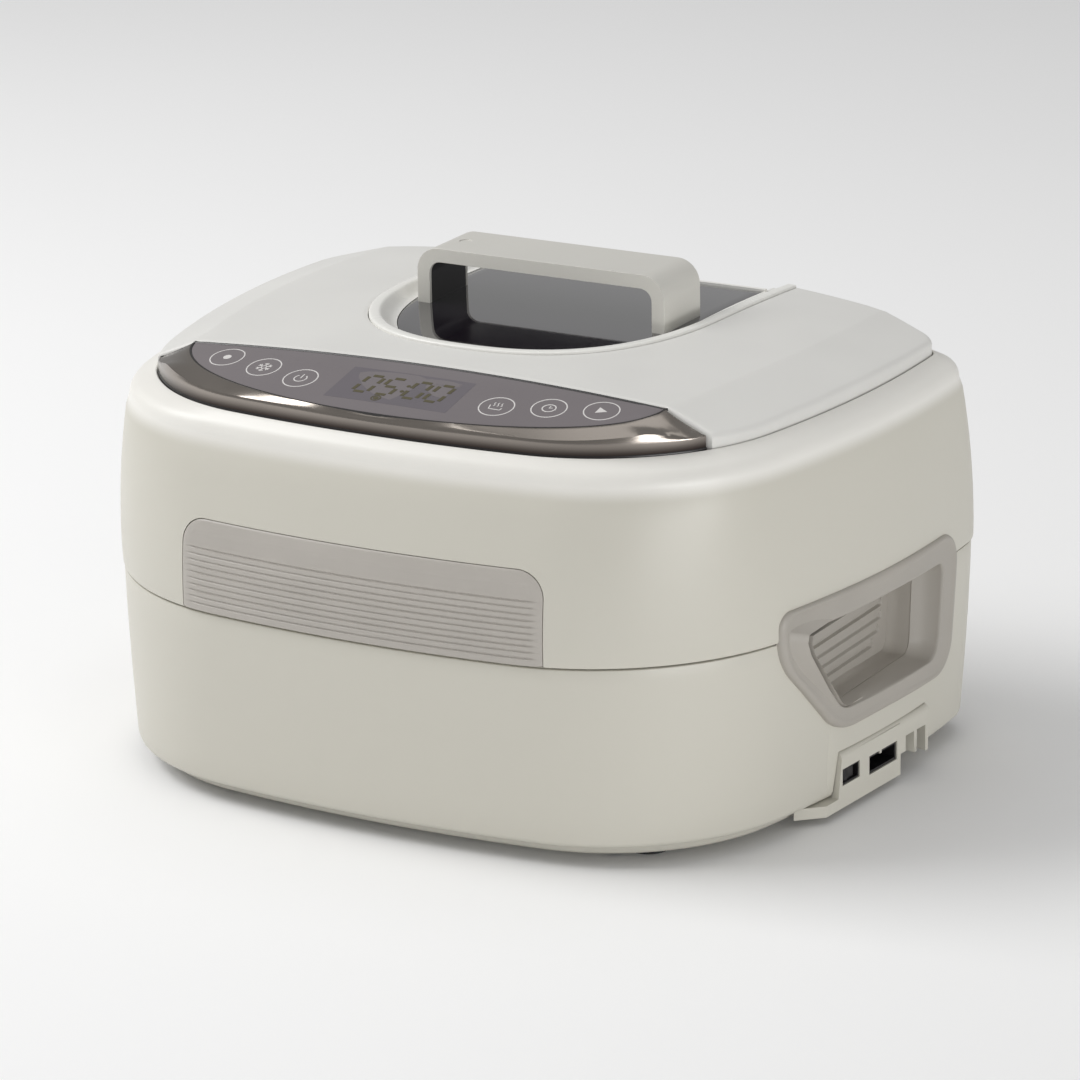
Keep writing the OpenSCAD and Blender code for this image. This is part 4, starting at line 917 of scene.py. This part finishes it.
def icon_time(c):
    x, y = c
    return [stroke(circle(c, 2.7, n=32), 0.5, True), stroke([[x, y + 1.7], [x, y], [x + 1.3, y + 0.6]], 0.45)]


def icon_start(c):
    x, y = c
    return [patch_on_lens(np.array([[x - 1.8, y - 2.2], [x + 2.4, y], [x - 1.8, y + 2.2]]), 0.06)]


ICONS = {"light": icon_light, "cycle": icon_cycle, "power": icon_power, "heat": icon_heat,
         "time": icon_time, "start": icon_start}


def make_print():
    """The ring and the sign of each touch key."""
    parts = []
    for name, c in RINGS.items():
        c = np.array(c)
        parts.append(stroke(circle(c, RING_R, n=64), LINE, True))
        parts += ICONS[name](c)
    return merged(*parts)


LCD_HALF, LCD_FRONT, LCD_REAR = 27.56, -20.8, 3.7
SEGMENTS = {"0": "abcdef", "5": "afgcd"}


def make_digits():
    """Seven-segment figures, leaning slightly, with a colon between the pairs."""
    wide, tall, lean, thick = 8.4, 13.0, 0.12, 1.6
    bars = {"a": ((0, 2), (1, 2)), "b": ((1, 2), (1, 1)), "c": ((1, 1), (1, 0)), "d": ((0, 0), (1, 0)),
            "e": ((0, 1), (0, 0)), "f": ((0, 2), (0, 1)), "g": ((0, 1), (1, 1))}
    base = -14.4
    parts = []
    for i, ch in enumerate("0500"):
        x0 = -18.6 + i * 9.9 + (2.2 if i > 1 else 0)
        for key in SEGMENTS[ch]:
            p, q = (np.array([x0 + u * wide * 0.8, base + v * tall / 2]) for u, v in bars[key])
            d = (q - p) / np.hypot(*(q - p))
            pts = np.array([p + d * 1.15, q - d * 1.15])
            pts[:, 0] += lean * (pts[:, 1] - base)
            parts.append(stroke(pts, thick, lift=0.1))
    for z in (0.33, 0.67):
        parts.append(disc(np.array([1.4 + lean * tall * z, base + tall * z]), 0.85, 0.1, 14))
    bell = np.array([-5.5, -17.6])
    parts += [stroke(circle(bell, 1.9, n=24), 0.5, True, 0.1), disc(bell, 1.2, 0.1, 16)]
    return merged(*parts)


def make_lens_seal():
    """Black seal that shows as a fine line between the lens and its trim."""
    out, mid, inner = lens_edge(-0.75), lens_edge(-0.2), lens_edge(0.25)
    return loft([panel_z(out, -1.6), panel_z(out, 0.2), panel_z(mid, 0.22), panel_z(inner, -0.1),
                 panel_z(inner, -1.6)], closed=True)


def make_trim_gap_shadow_strip():
    """Black strip at the foot of the trim, a painted shadow standing in for the dark line of the gap above
    the shoulder.
    """
    edge = panel_edge()
    outer, lip, inner = (toward(edge, PANEL_MID, gap) for gap in (-0.32, -0.1, 0.6))
    return loft([at_z(outer, LIP_Z - 1.6), at_z(outer, LIP_Z + 0.35), at_z(lip, LIP_Z + 0.7),
                 at_z(inner, LIP_Z + 0.7), at_z(inner, LIP_Z - 1.6)], closed=True)


finish_piece(new_object("lens_seal", make_lens_seal()), M["gap_black"], "base", ())
# painted shadow: a black strip where the gap under the trim shows dark
finish_piece(new_object("trim_gasket", make_trim_gap_shadow_strip()), M["gap_black"], "base", ())
finish_piece(new_object("trim_ring", make_trim()), M["panel_chrome"], "base", ["panel_trim"],
             40)
finish_piece(new_object("lens_plate", make_lens()), M["panel_glass"], "base", ["panel_lens"],
             40)
finish_piece(new_object("panel_marks", make_print()), M["panel_print"], "base", ())
lcd_outline = dense(np.array([[-LCD_HALF, LCD_FRONT], [LCD_HALF, LCD_FRONT], [LCD_HALF, LCD_REAR],
                              [-LCD_HALF, LCD_REAR]]), 4)
finish_piece(new_object("lcd_face", patch_on_lens(lcd_outline, 0.04)), M["lcd_glass"], "base", ())
finish_piece(new_object("lcd_figures", make_digits()), M["lcd_segment"], "base", ())


# ---- lid ----
LID_MID = (0.0, 25.0)
SKIRT_Z = DECK_Z + 0.8


def lid_outline(o=0.0):
    outline, yc = island(0.6 + o), lid_front(120) + 0.2 + o
    hit = reach(outline, np.array([0, yc]), np.array([1.0, 0]))
    x = hit * np.linspace(-1, 1, 81)
    return np.concatenate([np.column_stack([x, lid_front(x) + o]), outline[outline[:, 1] > yc + 1]])


def half_window(a, b, back, steps):
    """Right half of the window's outline: a quarter of a blunt ellipse, then a straight side."""
    k = 2 / 2.4
    t = np.radians(np.linspace(-90, 0, 31))
    bow = np.column_stack([a * np.cos(t) ** k, WINDOW_Y - b * np.abs(np.sin(t)) ** k])
    return np.concatenate([bow, np.column_stack([np.full(steps, a),
                                                 np.linspace(WINDOW_Y, back, steps + 1)[1:]])])


def window(a, b, back):
    """Blunt ellipse in front, straight sides, square at the back."""
    half = half_window(a, b, back, 12)
    rear = np.column_stack([np.linspace(a, -a, 17)[1:-1], np.full(15, back)])
    return np.concatenate([half, rear, half[:0:-1] * [-1, 1]])


def crease_loop():
    x = 100 * np.linspace(-1, 1, 41)
    front = np.column_stack([x, np.full(41, -62.0)])
    y = np.linspace(-62, 96, 40)
    right = np.column_stack([crease_x(y), y])
    x = 112 * np.linspace(1, -1, 41)
    rear = np.column_stack([x, 110.5 - x * x / 800])
    return np.concatenate([front, right, rear, right[::-1] * [-1, 1]])


def draped(poly, dz=0.0):
    return np.column_stack([poly, lid_top(poly[:, 0], poly[:, 1]) + dz])


def make_lid():
    outer = lid_outline()
    crease = like(crease_loop(), outer, LID_MID)
    hole = like(window(WINDOW_W, WINDOW_F, WINDOW_BACK), outer, LID_MID)
    rings = [at_z(toward(outer, LID_MID, 3), SKIRT_Z), at_z(outer, SKIRT_Z), draped(outer, -2.4),
             draped(outer, -1.7), draped(toward(outer, LID_MID, 0.25), -0.95),
             draped(toward(outer, LID_MID, 0.8), -0.38), draped(toward(outer, LID_MID, 1.5), -0.1),
             draped(toward(outer, LID_MID, 2.4))]
    inner = toward(outer, LID_MID, 2.4)
    rings += [draped(inner + (crease - inner) * t) for t in (*np.linspace(0, 0.9, 10)[1:], 0.96, 0.98, 1)]
    rings += [draped(crease + (hole - crease) * t) for t in (0.01, 0.022)]
    rings += [draped(crease + (hole - crease) * t) for t in np.linspace(0, 1, 26)[1:-1]]
    rings += [draped(toward(hole, LID_MID, -0.5), -0.02), draped(toward(hole, LID_MID, -0.12), -0.2),
              draped(hole, -0.6), draped(hole, -3), draped(toward(crease, LID_MID, 2), -3),
              draped(toward(outer, LID_MID, 4), -4.5)]
    obj = new_object("lid_top", loft(rings, closed=True))
    carve(obj, box(-WINDOW_W - 0.4, WINDOW_W + 0.4, 96, 120, SILL_TOP, 190))
    carve_pair(obj, box(HINGE_X - 11.4, HINGE_X + 11.4, 104, 125, 150, 166))
    return obj


def make_lid_sill():
    """Low bar behind the pane, under which the hinge arms bolt on."""
    x = np.linspace(-WINDOW_W - 0.2, WINDOW_W + 0.2, 40)
    rear = ISLAND_BACK - 1.2 - x * x / (2 * REAR_R)
    foot, front = 166.0, 97.6
    rows = [(front, foot), (front, SILL_TOP - 0.6), (front + 0.6, SILL_TOP), (rear - 1.4, SILL_TOP),
            (rear - 0.4, SILL_TOP - 0.4), (rear, SILL_TOP - 1.4), (rear, foot)]
    return open_loft([np.column_stack([x, np.broadcast_to(y, 40), np.full(40, z)]) for y, z in rows])


def pane_height(y):
    """Top of the pane, which is slightly crowned from front to back."""
    return PANE_TOP + PANE_CROWN - (y - PANE_CROWN_Y) ** 2 / (2 * PANE_CROWN_R)


def make_window_frame():
    """U-shaped rim round the pane, open to the lid's rear edge."""
    back = 106.3

    def u(a, b):
        half = half_window(a, b, back, 24)
        return np.concatenate([half[::-1] * [-1, 1], half[1:]])

    def lifted(poly, dz):
        return np.column_stack([poly, deck(poly[:, 0], poly[:, 1]) + dz])

    w, f = WINDOW_W - 0.35, WINDOW_F - 0.35
    pane = u(PANE_A + 0.5, PANE_B + 0.5)
    inner = u(w - 4.9, f - 4.9)
    top = lifted(inner, 0.1)
    low = at_z(pane, pane_height(pane[:, 1]) + 0.1)
    section = [lifted(u(w, f), -4.0), lifted(u(w, f), 0.35), lifted(u(w - 0.15, f - 0.15), 0.65),
               lifted(u(w - 0.5, f - 0.5), 0.86), lifted(u(w - 1.1, f - 1.1), 0.95),
               lifted(u(w - 3.6, f - 3.6), 0.9), lifted(u(w - 4.3, f - 4.3), 0.65), top]
    section += [top + (low - top) * s - np.array([0, 0, 1]) * (1.1 * math.sin(math.pi * s))
                for s in (0.12, 0.25, 0.4, 0.55, 0.7, 0.85)]
    section += [low, at_z(pane, pane_height(pane[:, 1]) - 2.2)]
    obj = new_object("window_rim", open_loft(section))
    strip = box(-PANE_A - 1, PANE_A + 1, PANE_BACK, 99.4, 169.2, PANE_TOP + 0.7)
    carve(obj, strip, "UNION")
    return obj


def make_pane():
    outline = window(PANE_A + 0.3, PANE_B + 0.3, PANE_BACK - 0.05)
    centre = np.array([0, PANE_CROWN_Y])
    rings = [at_z(outline, pane_height(outline[:, 1]) - 2), at_z(outline, pane_height(outline[:, 1]) - 0.15)]
    for t in (0.01, 0.08, 0.2, 0.35, 0.5, 0.65, 0.8, 0.92):     # rings inward over the crown
        ring = outline + (centre - outline) * t
        rings.append(at_z(ring, pane_height(ring[:, 1])))
    return loft(rings)


def arch_outline(w, top, r, z0):
    h = w / 2
    return np.concatenate([[[-h, z0], [h, z0]], arc((h - r, top - r), r, 0, 90, 12, True),
                           arc((r - h, top - r), r, 90, 180, 12, True)])


BORE_R = HANDLE_R - HANDLE_T + 1


def arch_bore(inset, r, z0=150):
    """Outline of the handle's opening, drawn in from the shell's own by inset."""
    return arch_outline(HANDLE_W - 2 * (HANDLE_T + inset), HANDLE_TOP - HANDLE_T - inset, r, z0)


def make_handle():
    y0, y1 = HANDLE_Y0, HANDLE_Y0 + HANDLE_D
    arch = arch_outline(HANDLE_W, HANDLE_TOP, HANDLE_R, PANE_TOP)
    obj = new_object("handle_arch", prism(arch, y0, y1, "y"))
    carve(obj, prism(arch_bore(LINER_T, BORE_R - LINER_T), y0 - 1, y1 + 1, "y"))
    carve(obj, prism(arch_bore(0, BORE_R), y0 + HANDLE_LIP, y1 - HANDLE_LIP, "y"))
    dimple = arc((-43.5, 33.5), 2.6, 0, 360, 32)
    carve(obj, loft([at_z(dimple, HANDLE_TOP - 0.35), at_z(dimple, HANDLE_TOP + 1)]))
    bevel(obj, 0.9, 3, 50)
    return obj


def make_liner():
    gap = 0.02
    y0, y1 = HANDLE_Y0 + HANDLE_LIP + gap, HANDLE_Y0 + HANDLE_D - HANDLE_LIP - gap
    obj = new_object("handle_lining", prism(arch_bore(gap, BORE_R, PANE_TOP), y0, y1, "y"))
    carve(obj, prism(arch_bore(LINER_T, BORE_R - LINER_T), y0 - 1, y1 + 1, "y"))
    bevel(obj, 0.1, 2, 50)
    return obj


finish_piece(make_lid(), M["lid_plastic"], "lid", ["lid_shell"])
sill = new_object("lid_sill", make_lid_sill())
finish_piece(sill, M["lid_plastic"], "lid", ())
finish_piece(make_window_frame(), M["rim_plastic"], "lid", ["window_frame"], 50)
pane = new_object("pane", make_pane())
bevel(pane, 0.3, 2)
finish_piece(pane, M["smoked_window"], "lid", ["window_pane"])
finish_piece(make_handle(), M["handle_plastic"], "lid", ["handle_shell"])
finish_piece(make_liner(), M["black_plastic"], "lid", ["handle_liner"])

# ---- CAD nodes that are shown as they are ----
for node, obj in frame["nodes"].items():
    if obj.hide_render:
        continue
    obj.data.materials.clear()
    obj.data.materials.append(M[SLOT_OF[node]])


# ---- floor, light and camera ----
def emitter(name, place, target, size, power):
    light = bpy.data.lights.new(name, "AREA")
    light.shape, light.size, light.size_y, light.energy = "RECTANGLE", size[0], size[1], power
    obj = bpy.data.objects.new(name, light)
    bpy.context.scene.collection.objects.link(obj)
    obj.location = place
    obj.rotation_euler = (Vector(target) - Vector(place)).to_track_quat("-Z", "Y").to_euler()


FLOOR_HALF, SKY_STRENGTH = 4000.0, 0.4
corners = np.array([[-1, -1, 0], [1, -1, 0], [1, 1, 0], [-1, 1, 0]]) * FLOOR_HALF
floor = new_object("floor", (corners, [(0, 1, 2, 3)]))
floor.data.materials.append(material("floor_paper", srgb(250, 250, 250), 0.8, 0.002, 2, 200, 0.0, edge_paling=0.0))

world = bpy.data.worlds.new("studio")
world.use_nodes = True
world.node_tree.nodes["Background"].inputs["Color"].default_value = (1, 1, 1, 1)
world.node_tree.nodes["Background"].inputs["Strength"].default_value = SKY_STRENGTH
bpy.context.scene.world = world

CENTRE = (0, 0, 0.1)
LAMPS = {                       # place, width and depth in metres, power in watts
    "key_left": ((-1.5, -0.55, 1.6), (1.3, 1.3), 32),
    "top_softbox": ((0.0, 0.3, 1.8), (1.2, 1.2), 4),
    "side_fill": ((1.9, -0.9, 0.12), (1.4, 0.5), 19),
}
for name, (place, size, power) in LAMPS.items():
    emitter(name, place, CENTRE, size, power)

CAM_TARGET = np.array([59.882, -85.0, 119.636]) * MM
CAM_AZIMUTH, CAM_ELEVATION, CAM_ROLL = 29.602, 17.962, -0.948
CAM_DISTANCE, CAM_LENS, CAM_SENSOR = 2.02786, 174.0, 36.0
CAM_SHIFT_X, CAM_SHIFT_Y = -0.0063, -0.00016
az, el, roll = (math.radians(v) for v in (CAM_AZIMUTH, CAM_ELEVATION, CAM_ROLL))
back = Vector((math.sin(az) * math.cos(el), -math.cos(az) * math.cos(el), math.sin(el)))
level = Vector((math.cos(az), math.sin(az), 0))
rise = back.cross(level)
right = level * math.cos(roll) + rise * math.sin(roll)
up = rise * math.cos(roll) - level * math.sin(roll)
camera_data = bpy.data.cameras.new("camera")
camera_data.lens, camera_data.sensor_width = CAM_LENS, CAM_SENSOR
camera_data.shift_x, camera_data.shift_y = CAM_SHIFT_X, CAM_SHIFT_Y
camera_data.clip_end = 50
camera = bpy.data.objects.new("camera", camera_data)
bpy.context.scene.collection.objects.link(camera)
camera.matrix_world = Matrix.Translation(Vector(CAM_TARGET) + back * CAM_DISTANCE) @ Matrix(
    (right, up, back)).transposed().to_4x4()
bpy.context.scene.camera = camera
bpy.context.scene.view_settings.view_transform = "Standard"
